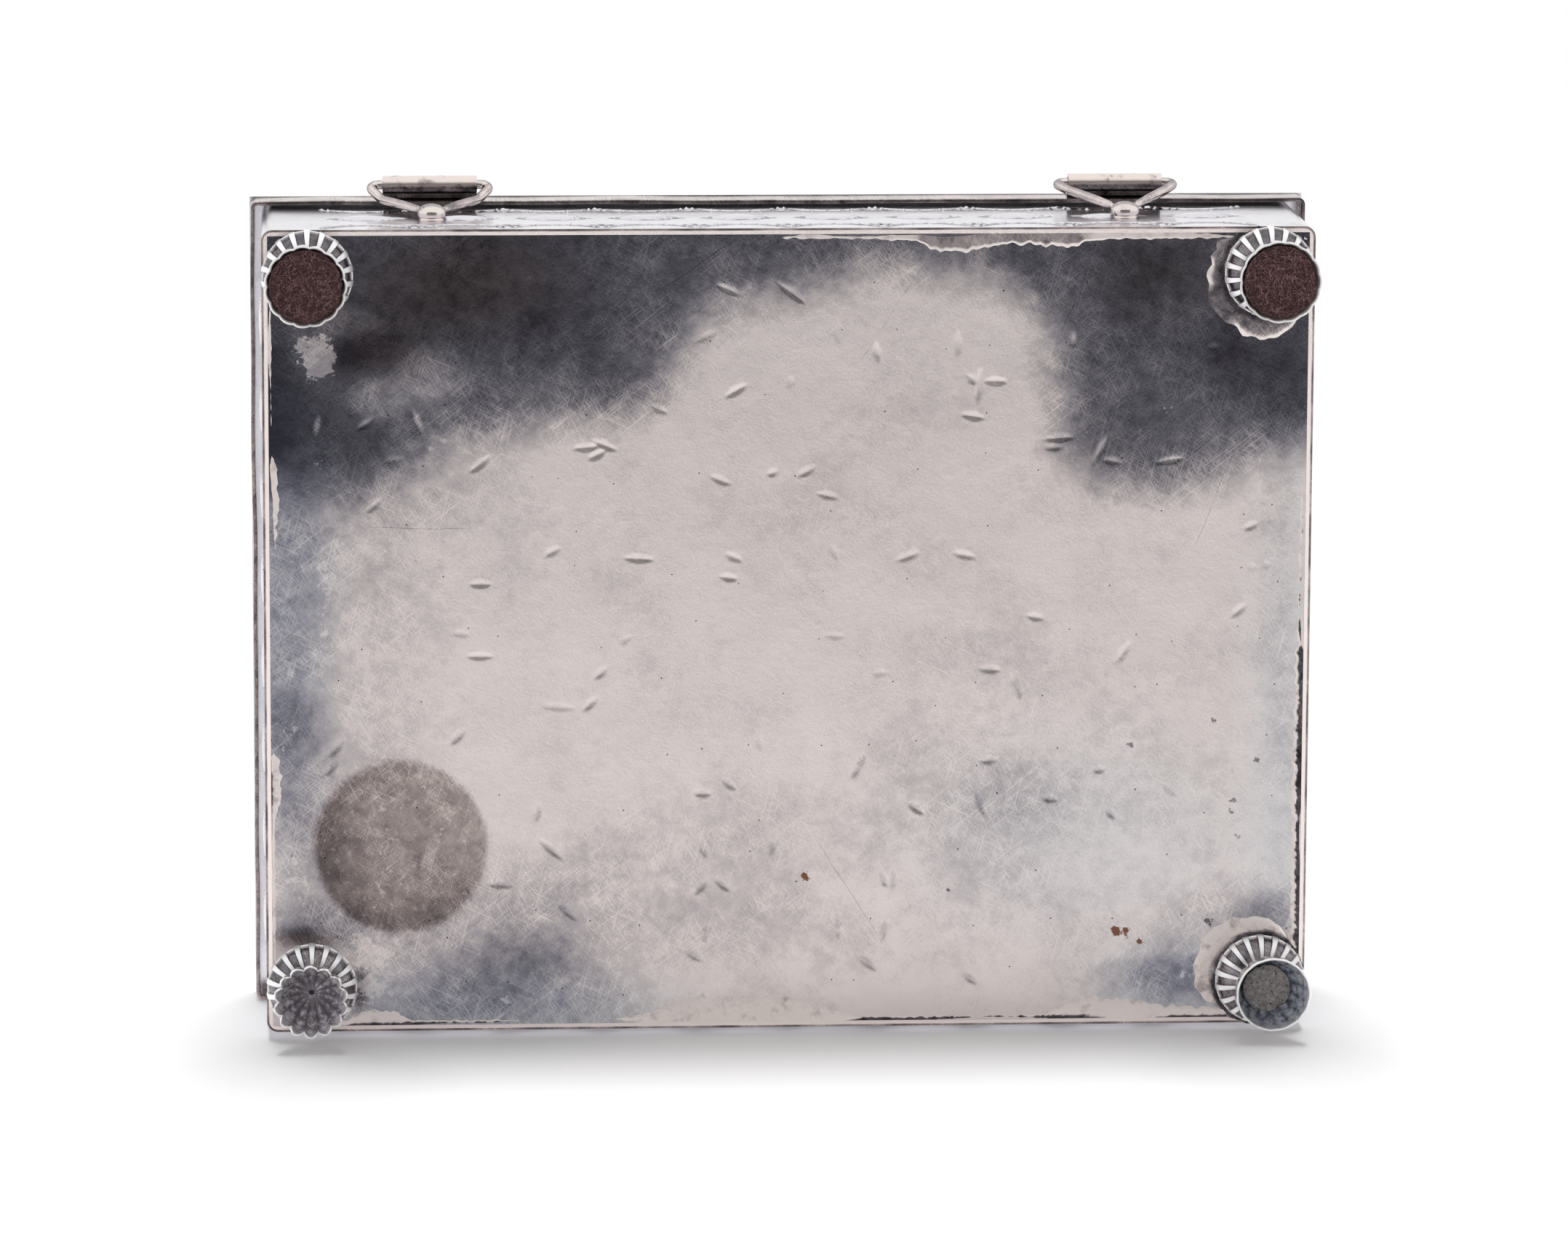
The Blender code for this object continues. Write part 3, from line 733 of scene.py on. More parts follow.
def make_plate_silver():
    """Plate finish: tarnish and painted reflection from its masks, and the speckled mark of the
    sticker.
    """
    material, tree, shader, place = new_material("plate_silver")
    speckle = noise(tree, place, 1.1, detail=8, roughness=0.75)
    worn = remap(tree, speckle, 0.55, 0.64, 1.0, 0.45)
    stain = calc(tree, "MULTIPLY", mask_of(tree, "sticker"), worn)
    # The tarnish mask carries painted reflection and painted highlights as well as tarnish
    tarnish = calc(tree, "MULTIPLY_ADD", stain, STICKER_TARNISH, mask_of(tree, "tarnish"))
    ragged = noise(tree, place, 0.7, detail=8, roughness=0.7)
    broken = calc(tree, "MULTIPLY_ADD", ragged, 1.8, -0.9)
    flaked = calc(tree, "MULTIPLY_ADD", mask_of(tree, "flaked"), 0.8, broken)
    flaked = remap(tree, flaked, 0.50, 0.58, 1.0, 0.50)
    tarnish = calc(tree, "MULTIPLY", tarnish, flaked)
    long_scratches = 0.0
    for start, end, width in SCRATCHES:
        scratch = scratch_line(tree, place, start, end, width)
        long_scratches = calc(tree, "ADD", long_scratches, scratch)
    tarnish = calc(tree, "MULTIPLY_ADD", long_scratches, 0.16, tarnish)
    rust = spots(tree, place, RUST_SPECKS)
    pits = calc(tree, "ADD", spots(tree, place, CHIPS), scattered_pits(tree, place), clamp=True)
    tarnish = calc(tree, "MULTIPLY_ADD", pits, 0.55, tarnish)
    brown = calc(tree, "ADD", mask_of(tree, "brown"), mask_of(tree, "sticker"), clamp=True)
    blue = calc(tree, "MULTIPLY", mask_of(tree, "blue"), 1.0, clamp=True)
    metal = aged_silver(tree, place, tarnish, brown, blue)
    height = calc(tree, "MULTIPLY_ADD", long_scratches, -0.03, metal["Height"])
    height = calc(tree, "MULTIPLY_ADD", pits, -0.05, height)
    colour = blend_colours(tree, rust, metal["Color"], RUST_BROWN)
    dress(tree, shader, colour, metal["Roughness"], height)
    return material


plate_silver = make_plate_silver()
finish_piece(plate, "box", plate_silver, ["base_plate"])

# Body wall
# One strip of silver sheet, stamped all round while flat, bent to a rectangle and soldered at
# the middle of the back. The base plate sits inside its lower edge.
WALL_CELL = 0.42 * MM
WALL_CORNER = 1.5 * MM
CORNER_STEPS = 6
STAMPED_HEIGHT = 24.5 * MM
PLAIN_ROWS = 3
SOLDER_GAP = 0.3 * MM

# One subdivide makes no more than this many parts, so a longer side is cut in two goes
MOST_PARTS = 100

wall_low, wall_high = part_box("body_wall")
WALL_THICKNESS = plate_low.x - wall_low.x - SOLDER_GAP


def outline_loop(name, low, high, corner, cell):
    """Open edges round a box's lower end, with round corners and short equal steps."""
    place = centre(low, high, low.z)
    piece = add_primitive(name, bpy.ops.mesh.primitive_plane_add, size=1, location=place)
    piece.scale = (high.x - low.x, high.y - low.y, 1)
    settle()
    open_mesh()
    bpy.ops.mesh.bevel(offset=corner, segments=CORNER_STEPS, profile=0.5, affect="VERTICES")
    bpy.ops.mesh.select_all(action="SELECT")
    bpy.ops.mesh.delete(type="ONLY_FACE")
    for side in (high.x - low.x, high.y - low.y):
        straight = side - 2 * corner
        pick(piece, "edges", lambda edge: abs(edge.calc_length() - straight) < corner)
        goes = math.ceil(straight / cell / MOST_PARTS)
        if goes > 1:
            bpy.ops.mesh.subdivide(number_cuts=goes - 1)
        bpy.ops.mesh.subdivide(number_cuts=round(straight / goes / cell) - 1)
    bpy.ops.mesh.select_all(action="SELECT")
    return piece


def pull_rows(piece, height, rows):
    """Pull the selected loop of edges up into a wall and cut that wall into rows."""
    pull(0, 0, height)
    top = max(vertex.co.z for vertex in bmesh.from_edit_mesh(piece.data).verts)
    if rows > 1:
        pick(
            piece,
            "edges",
            lambda edge: abs(edge.verts[0].co.z - edge.verts[1].co.z) > height / 2
            and max(vertex.co.z for vertex in edge.verts) > top - height / 2,
        )
        bpy.ops.mesh.subdivide(number_cuts=rows - 1)
    pick(piece, "verts", lambda vertex: vertex.co.z > top - height / rows / 2)


def outward(points, low, high, corner):
    """Unit directions that point straight out of a rounded rectangle, as x and y."""
    nearest = points[:, :2].copy()
    for axis in (0, 1):
        nearest[:, axis] = np.clip(nearest[:, axis], low[axis] + corner, high[axis] - corner)
    away = points[:, :2] - nearest
    return away / np.maximum(np.hypot(*away.T), 1e-9)[:, None]


wall = outline_loop("body_wall_stamped", wall_low, wall_high, WALL_CORNER, WALL_CELL)
pull_rows(wall, STAMPED_HEIGHT, round(STAMPED_HEIGHT / WALL_CELL))
pull_rows(wall, wall_high.z - wall_low.z - STAMPED_HEIGHT, PLAIN_ROWS)

# Two more rows, which are then folded in to be the wall's inner face
for _ in ("inner_top", "inner_foot"):
    pull_rows(wall, WALL_THICKNESS, 1)
close_mesh()
points = read_points(wall)
out = outward(points, wall_low, wall_high, WALL_CORNER)
above = (points[:, 2] - wall_high.z) / WALL_THICKNESS
inner_top = (above > 0.5) & (above < 1.5)
inner_foot = above > 1.5
points[:, :2] -= out * (WALL_THICKNESS * (inner_top | inner_foot))[:, None]
points[inner_top, 2] = wall_high.z
points[inner_foot, 2] = wall_low.z

# Rows of stamps, in real sizes: how far apart along the wall, how high above its lower edge
MOTIF_PITCH = 12.2 * MM
PLAIN_END = 8.0 * MM
ARC_RADIUS = 7.6 * MM
ARC_RISE = 2.9 * MM
ARC_WIDTH = 0.9 * MM
BEAD_PITCH = 1.15 * MM
LEAF_HALF_LENGTH = 4.6 * MM
LEAF_HALF_WIDTH = 1.9 * MM
LEAF_BULGE = 0.45 * MM
LEAF_LINE_WIDTH = 0.55 * MM
LEAF_TIP_SHARE = 0.15
STAMP_DEPTH = 0.32 * MM
BEAD_HEIGHT = 0.28 * MM
LOWER_ARCS_FOOT = 2.0 * MM
UPPER_ARCS_FOOT = 22.0 * MM
LEAVES_MIDDLE = 12.0 * MM
FAN_RADIUS = 2.3 * MM
FAN_EYE = 0.5 * MM
FAN_FADE = 0.4 * MM
FAN_HALF_TURN = 1.45
FAN_RAYS = 9
FAN_SHIFT = 1.2 * MM


def groove(distance, width, depth):
    """How deep a round groove is at a distance from its middle line."""
    return depth * smooth_step(1 - np.abs(distance) / width)


def beaded_arc(along, up, middle_up, curve_sign):
    """Height of one beaded crescent, whose ends meet those of its neighbours."""
    centre_up = middle_up + curve_sign * (ARC_RISE - ARC_RADIUS)
    radius = np.hypot(along, up - centre_up)
    turn = np.arctan2(along, curve_sign * (up - centre_up))
    reach = curve_sign * (up - middle_up) > -ARC_WIDTH
    edge = radius - ARC_RADIUS
    beads = 0.5 + 0.5 * np.cos(2 * math.pi * turn * ARC_RADIUS / BEAD_PITCH)
    height = -groove(edge, ARC_WIDTH, STAMP_DEPTH)
    height += beads * groove(edge, 0.5 * ARC_WIDTH, STAMP_DEPTH + BEAD_HEIGHT)
    return height * reach


def bulged_leaf(along, up):
    """Height of a raised leaf with a pressed outline."""
    lens = 1 - (along / LEAF_HALF_LENGTH) ** 2
    edge = np.abs(up) - LEAF_HALF_WIDTH * np.clip(lens, 0, 1)
    inside = np.clip(lens, 0, 1) * np.clip(1 - (up / LEAF_HALF_WIDTH) ** 2, 0, 1)
    height = LEAF_BULGE * inside * (edge < 0)
    height -= groove(edge, LEAF_LINE_WIDTH, STAMP_DEPTH) * (lens > -LEAF_TIP_SHARE)
    return height


def rayed_fan(along, up, curve_sign):
    """Height of a small fan of rays that opens up or down."""
    radius = np.hypot(along, up)
    turn = np.arctan2(along, curve_sign * up)
    inside = smooth_step((FAN_RADIUS - radius) / FAN_FADE) * (np.abs(turn) < FAN_HALF_TURN)
    rays = 0.5 + 0.5 * np.cos(turn * FAN_RAYS)
    return -STAMP_DEPTH * inside * rays * (radius > FAN_EYE)


def stamped_relief(along, up, side_length):
    """Height of the stampwork on one side of the box, from its middle along it."""
    room = side_length - 2 * PLAIN_END
    count = max(round(room / MOTIF_PITCH), 1)
    pitch = room / count
    shown = np.abs(along) < room / 2
    from_start = along + room / 2
    in_motif = np.mod(from_start, pitch) - pitch / 2
    between = np.mod(from_start + pitch / 2, pitch) - pitch / 2
    height = beaded_arc(in_motif, up, LOWER_ARCS_FOOT, 1)
    height += beaded_arc(in_motif, up, UPPER_ARCS_FOOT, -1)
    height += bulged_leaf(in_motif, up - LEAVES_MIDDLE)
    inner = np.abs(along) < room / 2 - pitch / 4
    height += inner * rayed_fan(between, up - LOWER_ARCS_FOOT - FAN_SHIFT, 1)
    height += inner * rayed_fan(between, up - UPPER_ARCS_FOOT + FAN_SHIFT, -1)
    return height * shown


up = points[:, 2] - wall_low.z
outer = (up < STAMPED_HEIGHT + WALL_CELL / 2) & ~inner_top & ~inner_foot
middle = (wall_low + wall_high) / 2
relief = np.zeros(len(points))
for axis, other in ((0, 1), (1, 0)):
    side = outer & (np.abs(out[:, other]) > 0.99)
    along = points[side, axis] - middle[axis]
    length = wall_high[axis] - wall_low[axis]
    relief[side] = stamped_relief(along, up[side], length)
points[:, :2] += out * relief[:, None]
write_points(wall, points)
write_mask(wall, "hollow", np.clip(-relief / STAMP_DEPTH, 0, 1))
write_mask(wall, "corner", 1.0 * ((up < WALL_CELL / 2) & ~inner_foot))
bpy.ops.object.mode_set(mode="EDIT")
pick(wall, "edges", lambda edge: edge.is_boundary)
bpy.ops.mesh.bridge_edge_loops()
close_outward()


def make_wall_silver():
    """Polished silver with tarnish left down in the stamps."""
    material, tree, shader, place = new_material("wall_silver")
    hollow = mask_of(tree, "hollow")
    smudge = noise(tree, place, 0.25, detail=4)
    tarnish = remap(tree, smudge, 0.45, 0.75, 0.0, 0.16)
    tarnish = calc(tree, "MULTIPLY_ADD", remap(tree, hollow, 0.12, 0.9), 0.74, tarnish)
    line = remap(tree, mask_of(tree, "corner"), 0.50, 0.75)
    level = add_node(tree, "ShaderNodeSeparateXYZ", {0: place}).outputs["Z"]
    foot = remap(tree, level, wall_low.z / MM + 0.02, wall_low.z / MM + 0.10, 1.0, 0.0)
    line = calc(tree, "MULTIPLY", line, remap(tree, smudge, 0.35, 0.6, 1.0, 0.45))
    tarnish = calc(tree, "MULTIPLY_ADD", line, 0.75, tarnish)
    metal = aged_silver(tree, place, tarnish, remap(tree, line, 0.0, 0.5, 0.1, 1.0), 0.5)
    bright = rub_bright(tree, metal, tarnish, 0.45, 0.62, silver(212, 211, 219))
    cream = calc(tree, "MULTIPLY", foot, remap(tree, line, 0.1, 0.5, 0.8, 0.0))
    bright = blend_colours(tree, cream, bright, silver(222, 210, 204))
    rough = calc(tree, "MULTIPLY", metal["Roughness"], 0.6)
    dress(tree, shader, bright, rough, metal["Height"], 0.25)
    return material


wall_silver = make_wall_silver()
finish_piece(wall, "box", wall_silver, ["body_wall"])

# Solder seam
# Hard solder run all round between the plate and the wall. It is pale, pitted and flooded out
# over the plate in pools with thick rolled lips.
SEAM_CELL = 0.35 * MM
SEAM_ROWS = 9
SEAM_HEIGHT = 0.12 * MM
SEAM_LEAST = 0.50 * MM
SEAM_RUN_IN = 3.4 * MM
SEAM_THICKNESS = 0.4 * MM
SEAM_CORNER = 0.7 * MM
SEAM_LIFT = 0.05 * MM
SEAM_FULL_REACH = 1.2 * MM
THIN_SEAM_SHARE = 0.3
LIP_FALL = 5
THIN_LIP_SHARE = 0.35

# Sizes of the coarse and fine raggedness, and how much each changes the seam and the joint
TORN_SIZE = 1.1 * MM
FINE_SIZE = 0.35 * MM
SEAM_TORN_SHARES = (0.35, 0.12)
JOINT_TORN_SHARES = (0.6, 0.5)

# Flattens points, for noise that is the same all the way up
FLAT = (1, 1, 0)

# Inner edge of the solder in pixels, along each side of the photograph
SOLDER_EDGE = {
    "top": [
        (360, 328), (600, 327), (620, 331), (640, 333), (670, 331), (700, 328), (900, 327),
        (1180, 329), (1262, 332), (1280, 344), (1300, 347), (1330, 350), (1352, 342),
        (1380, 336), (1440, 337), (1469, 342), (1490, 333), (1520, 329), (1690, 328), (1800, 329),
    ],
    "bottom": [
        (380, 1405), (480, 1402), (490, 1389), (545, 1387), (560, 1402), (840, 1400), (895, 1393),
        (930, 1373), (1000, 1367), (1100, 1371), (1140, 1388), (1180, 1397), (1440, 1393),
        (1465, 1378), (1500, 1367), (1560, 1373), (1600, 1381), (1690, 1384), (1790, 1388),
    ],
    "left": [
        (370, 330), (371, 620), (382, 640), (384, 700), (380, 760), (377, 860), (374, 950),
        (373, 1030), (386, 1045), (387, 1100), (380, 1120), (377, 1170), (376, 1250), (378, 1400),
    ],
    "right": [
        (1800, 330), (1797, 560), (1790, 640), (1784, 800), (1779, 1000), (1774, 1200),
        (1771, 1300), (1776, 1400),
    ],
}

# Where the joint beside the wall stays open and dark: from pixel to pixel, and how wide
DARK_JOINTS = {
    "top": [(600, 680, 0.15 * MM)],
    "bottom": [(470, 850, 0.34 * MM), (1170, 1520, 0.40 * MM), (1600, 1720, 0.30 * MM)],
    "left": [(1040, 1120, 0.15 * MM)],
    "right": [(300, 640, 0.50 * MM), (640, 800, 0.30 * MM), (790, 1385, 0.62 * MM)],
}
JOINT_START_SHARE = 0.2
JOINT_EASE = 3 * MM
JOINT_FADE = 0.14 * MM

# Where the solder at the top reaches in further than this, it is dull, except on its lip
TOP_POOL_DIRT = 0.50
TOP_POOL_FROM = 0.9 * MM
TOP_POOL_FADE = 0.5 * MM
TOP_POOL_LIP_SHARE = 0.80
TOP_POOL_LIP_FADE = 0.1

# Each side of the photograph: the axis along it, the axis across it, and which way it faces
SIDES = (("top", 0, 1, 1), ("bottom", 0, 1, -1), ("left", 1, 0, 1), ("right", 1, 0, -1))
FACING_SHARE = 0.75


def noise_over(points, size):
    """Smooth noise at points, from about -1 to 1, with bumps of a size."""
    return np.array([noise_at(Vector(point) / size) for point in points])


def joint_width(places, side):
    """How wide the dark joint beside the wall is at places along one side."""
    total = np.zeros(len(places))
    for start, end, width in DARK_JOINTS[side]:
        if side in ("top", "bottom"):
            ends = [at_pixel(pixel, PHOTO_HEIGHT / 2, plate_low.z).x for pixel in (start, end)]
        else:
            ends = [at_pixel(PHOTO_WIDTH / 2, pixel, plate_low.z).y for pixel in (start, end)]
        low, high = sorted(ends)
        near = np.minimum(places - low, high - places)
        total = np.maximum(total, width * smooth_step(near / JOINT_EASE + JOINT_START_SHARE))
    return total


def solder_reach(places, side):
    """How far the solder reaches in from the wall at places along one side."""
    marks = [at_pixel(*pixel, plate_low.z) for pixel in SOLDER_EDGE[side]]
    if side in ("top", "bottom"):
        edge = seam_high.y if side == "top" else seam_low.y
        pairs = sorted((mark.x, abs(mark.y - edge)) for mark in marks)
    else:
        edge = seam_high.x if side == "left" else seam_low.x
        pairs = sorted((mark.y, abs(mark.x - edge)) for mark in marks)
    return np.interp(places, *zip(*pairs))


seam_low = wall_low + Vector((WALL_THICKNESS, WALL_THICKNESS, 0))
seam_high = Vector((wall_high.x - WALL_THICKNESS, wall_high.y - WALL_THICKNESS, wall_low.z))
seam = outline_loop("solder_seam", seam_low, seam_high, SEAM_CORNER, SEAM_CELL)
pull_rows(seam, SEAM_RUN_IN, SEAM_ROWS)
close_mesh()
points = read_points(seam)
out = outward(points, seam_low, seam_high, SEAM_CORNER)
share = (points[:, 2] - seam_low.z) / SEAM_RUN_IN
reach = np.full(len(points), SEAM_LEAST)
open_joint = np.zeros(len(points))
for side, axis, other, sign in SIDES:
    here = out[:, other] * sign > FACING_SHARE
    reach[here] = np.maximum(solder_reach(points[here, axis], side), SEAM_LEAST)
    open_joint[here] = joint_width(points[here, axis], side)
    if side == "top":
        pool = smooth_step((reach - TOP_POOL_FROM) / TOP_POOL_FADE) * here
torn = noise_over(points * FLAT, TORN_SIZE)
fine = noise_over(points * FLAT, FINE_SIZE)
reach += reach * (SEAM_TORN_SHARES[0] * torn + SEAM_TORN_SHARES[1] * fine)
points[:, :2] -= out * (share * reach)[:, None]
lip = smooth_step((1 - share) * LIP_FALL) * (THIN_LIP_SHARE + (1 - THIN_LIP_SHARE) * share)
thick = np.clip(reach / SEAM_FULL_REACH, THIN_SEAM_SHARE, 1)
points[:, 2] = seam_low.z - SEAM_HEIGHT * thick * lip + SEAM_LIFT
write_points(seam, points)
open_joint *= 1 + JOINT_TORN_SHARES[0] * torn + JOINT_TORN_SHARES[1] * fine
dirt = smooth_step((open_joint - share * reach) / JOINT_FADE + 0.5) * (open_joint > 0)
dirt += TOP_POOL_DIRT * pool * smooth_step((TOP_POOL_LIP_SHARE - share) / TOP_POOL_LIP_FADE)
write_mask(seam, "dirt", np.clip(dirt, 0, 1))
apply_modifier(seam, "SOLIDIFY", thickness=SEAM_THICKNESS, offset=-1)

SOLDER_CREAM = silver(222, 213, 209)


def make_solder():
    """Pale, slightly pink solder with dark pits, and with dirt where its mask says."""
    material, tree, shader, place = new_material("solder")
    pits = noise(tree, place, 2.6, detail=5, roughness=0.7)
    cloud = noise(tree, place, 0.6, detail=4)
    tarnish = remap(tree, pits, 0.62, 0.80, 0.0, 0.45)
    tarnish = calc(tree, "MULTIPLY_ADD", remap(tree, cloud, 0.46, 0.72), 0.22, tarnish)
    tarnish = calc(tree, "MULTIPLY_ADD", mask_of(tree, "dirt"), 0.8, tarnish)
    metal = aged_silver(tree, place, tarnish, 0.5)
    colour = rub_bright(tree, metal, tarnish, 0.35, 0.8, SOLDER_CREAM)
    height = calc(tree, "MULTIPLY_ADD", pits, 0.09, metal["Height"])
    dress(tree, shader, colour, metal["Roughness"], height)
    return material


solder = make_solder()
finish_piece(seam, "box", solder)

# Solder pools at the feet
# Round the two feet on the photograph's right the solder flooded out over the plate, in flat
# pools with a thick rolled lip and a torn outline.
POOL_STEPS = 96
POOL_RINGS = 9
POOL_HEIGHT = 0.28 * MM
POOL_START = 5.2 * MM
POOL_SPREAD_SHARE = 0.9
POOL_BACK = 0.1 * MM
POOL_LIFT = 0.02 * MM
POOL_TORN_SIZE = 1.6 * MM
POOL_TORN_SHARE = 0.07

# The lip's swell: where it is highest, how blunt it is, and how it grows with the pool's reach
LIP_SHIFT = 1.6
LIP_BLUNTNESS = 0.7
LIP_FROM = 6.0 * MM
LIP_GROWTH = 2 * MM
LEAST_LIP_SHARE = 0.15

# Turn from the photograph's right in degrees, and how far the lip lies from the dome's middle
POOL_REACH = {
    "back_left": [(-180, 8.4), (-150, 9.3), (-120, 9.0), (-95, 9.6), (-60, 8.0), (-35, 6.4),
                  (60, 6.0), (120, 6.4), (150, 8.2), (180, 8.4)],
    "front_left": [(-180, 9.2), (-140, 7.0), (-90, 6.2), (0, 6.2), (50, 6.6), (80, 8.4),
                   (105, 9.0), (130, 9.6), (155, 9.4), (180, 9.2)],
}

# Where the lip is rubbed bright, from turn to turn, and how dark the rest of the pool is
POOL_BRIGHT_LIPS = {"back_left": [(-125, -60), (165, 200), (-200, -165)], "front_left": [(60, 200)]}
POOL_DIRT = {"back_left": 0.75, "front_left": 0.12}
BRIGHT_FADE_DEGREES = 12
BRIGHT_FROM_SHARE = 0.72
BRIGHT_FADE_SHARE = 0.12

# The dirt round the dome's foot
FOOT_DIRT_RADIUS = 7.0 * MM
FOOT_DIRT_FADE = 0.5 * MM


def foot_middle(side):
    """The middle of a foot, at the height of the plate's underside."""
    return centre(*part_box("foot_base_" + side), plate_low.z)


def turned_shell(name, middle, steps, profile):
    """Rings pulled one after another from a circle, along a profile of radii and heights."""
    radius, height = profile[0]
    circle = {"vertices": steps, "radius": radius, "location": (middle.x, middle.y, height)}
    piece = add_primitive(name, bpy.ops.mesh.primitive_circle_add, **circle)
    settle()
    open_mesh()
    for (before, start), (after, end) in zip(profile, profile[1:]):
        pull(0, 0, end - start)
        bpy.ops.transform.resize(value=(after / before, after / before, 1))
    bpy.ops.mesh.select_all(action="SELECT")
    bpy.ops.mesh.fill_holes(sides=0)
    close_outward()
    return piece


def spread(points, middle, share):
    """Move points out from a foot's middle by a share of their distance from it."""
    points[:, :2] += (points[:, :2] - np.array(middle.xy)) * share[:, None]


def around(points, middle):
    """Turn about a foot's middle, in radians, and distance from it."""
    offset = points[:, :2] - np.array(middle.xy)
    return np.arctan2(offset[:, 1], offset[:, 0]), np.hypot(*offset.T)


for side, reaches in POOL_REACH.items():
    middle = foot_middle(side)
    profile = [(POOL_START * (1 + POOL_SPREAD_SHARE * ring / POOL_RINGS), plate_low.z)
               for ring in range(POOL_RINGS)]
    profile.append((profile[-1][0], plate_low.z + POOL_BACK))
    pool = turned_shell("solder_pool_" + side, middle, POOL_STEPS, profile)
    points = read_points(pool)
    turn, radius = around(points, middle)
    ring = np.arange(len(points)) // POOL_STEPS
    share = np.clip(ring / (POOL_RINGS - 1), 0, 1)
    shown_turn = np.mod(np.degrees(math.pi - turn) + 180, 360) - 180
    reach = np.interp(shown_turn, *zip(*reaches)) * MM
    reach *= 1 + POOL_TORN_SHARE * noise_over(points * FLAT, POOL_TORN_SIZE)
    new_radius = POOL_START + (reach - POOL_START) * share
    spread(points, middle, new_radius / radius - 1)
    lip = np.sin(math.pi * share**LIP_SHIFT) ** LIP_BLUNTNESS
    lip *= np.clip((reach - LIP_FROM) / LIP_GROWTH, LEAST_LIP_SHARE, 1)
    behind = np.where(ring >= POOL_RINGS, POOL_BACK, POOL_LIFT)
    points[:, 2] = plate_low.z - POOL_HEIGHT * lip + behind
    write_points(pool, points)
    lip_here = np.zeros(len(points))
    for start, end in POOL_BRIGHT_LIPS[side]:
        near = np.minimum(shown_turn - start, end - shown_turn)
        lip_here = np.maximum(lip_here, smooth_step(near / BRIGHT_FADE_DEGREES + 0.5))
    on_lip = smooth_step((share - BRIGHT_FROM_SHARE) / BRIGHT_FADE_SHARE)
    dirt = smooth_step((FOOT_DIRT_RADIUS - new_radius) / FOOT_DIRT_FADE)
    dirt += POOL_DIRT[side] * (1 - lip_here * on_lip)
    write_mask(pool, "dirt", np.clip(dirt, 0, 1))
    finish_piece(pool, "box", solder)

# Foot bases
# Each foot starts as a low dome stamped with ribs, soldered to the plate at a corner. The
# ribs are rubbed bright and the panels between them are dark.
DOME_RIBS = 18
DOME_STEPS_PER_RIB = 12
DOME_RINGS = 14
DOME_RIB_SHARE = 0.40
DOME_RIB_HEIGHT = 0.28 * MM
DOME_PANEL_SINK = 0.22 * MM
DOME_TOP_RADIUS = 2.3 * MM
DOME_SINK_IN = 0.1 * MM
COLLAR_LIFT = 0.05 * MM

# How the ribs end, as shares of the way down the dome, and how flat they get there
RIB_EDGE_SHARE = 0.16
RIB_FALL_SHARE = 0.35
DOME_RIM_SHARE = 0.10
DOME_RIM_FADE = 0.06
DOME_RIM_RAISE = 0.8
RIB_END_SHARE = 1.02
RIB_END_FADE = 0.2
RIB_NARROW_SHARE = 0.5
RIB_DROP_SHARE = 0.7
FOOT_SIDES = ("back_left", "back_right", "front_left", "front_right")


def dome_profile(low, high, wide):
    """Radii and heights down a dome, from its collar on the plate to its small end."""
    end_turn = math.acos(DOME_TOP_RADIUS / wide)
    full = (high.z - low.z) / math.sin(end_turn)
    turns = [end_turn * ring / DOME_RINGS for ring in range(DOME_RINGS + 1)]
    collar = [(wide, plate_low.z + DOME_SINK_IN), (wide, high.z + COLLAR_LIFT)]
    return collar + [(wide * math.cos(turn), high.z - full * math.sin(turn)) for turn in turns]


def make_rib_silver(name, bright, dark_share):
    """Silver rubbed bright on the ribs, dark in the panels between them."""
    material, tree, shader, place = new_material(name)
    hollow = mask_of(tree, "hollow")
    smudge = noise(tree, place, 0.9, detail=5)
    tarnish = calc(tree, "MULTIPLY", hollow, dark_share)
    tarnish = sway(tree, tarnish, smudge, 0.35)
    metal = aged_silver(tree, place, tarnish, remap(tree, smudge, 0.4, 0.7, 0.1, 0.7))
    brightened = remap(tree, hollow, 0.15, 0.6, 1.0, 0.0)
    colour = blend_colours(tree, brightened, metal["Color"], bright)
    tree.links.new(calc(tree, "MULTIPLY_ADD", brightened, -0.55, 1.0), shader.inputs["Metallic"])
    dress(tree, shader, colour, metal["Roughness"], metal["Height"], 0.6)
    return material


RIB_CREAM = silver(240, 232, 226)
rib_silver = make_rib_silver("rib_silver", RIB_CREAM, 0.66)
for side in FOOT_SIDES:
    low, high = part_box("foot_base_" + side)
    middle = foot_middle(side)
    wide = (high.x - low.x) / 2 - DOME_RIB_HEIGHT / 2
    profile = dome_profile(low, high, wide)
    dome = turned_shell("foot_dome_" + side, middle, DOME_RIBS * DOME_STEPS_PER_RIB, profile)
    points = read_points(dome)
    turn, radius = around(points, middle)
    phase = np.mod(turn * DOME_RIBS / (2 * math.pi), 1)
    off_rib = np.abs(phase - 0.5) * 2
    rib = smooth_step((DOME_RIB_SHARE - off_rib) / RIB_EDGE_SHARE + 0.5)
    down = (high.z - points[:, 2]) / (high.z - low.z)
    rim = smooth_step((DOME_RIM_SHARE - down) / DOME_RIM_FADE)
    raised = np.maximum(rib * (1 - RIB_FALL_SHARE * down), rim * DOME_RIM_RAISE)
    lift = raised * DOME_RIB_HEIGHT - (1 - raised) * DOME_PANEL_SINK
    lift *= smooth_step((RIB_END_SHARE - down) / RIB_END_FADE)
    spread(points, middle, lift / radius * (1 - RIB_NARROW_SHARE * down))
    points[:, 2] -= np.where(down > DOME_RIM_SHARE, lift * down * RIB_DROP_SHARE, 0)
    write_points(dome, points)
    write_mask(dome, "hollow", 1 - raised)
    finish_piece(dome, "box", rib_silver, ["foot_base_" + side])

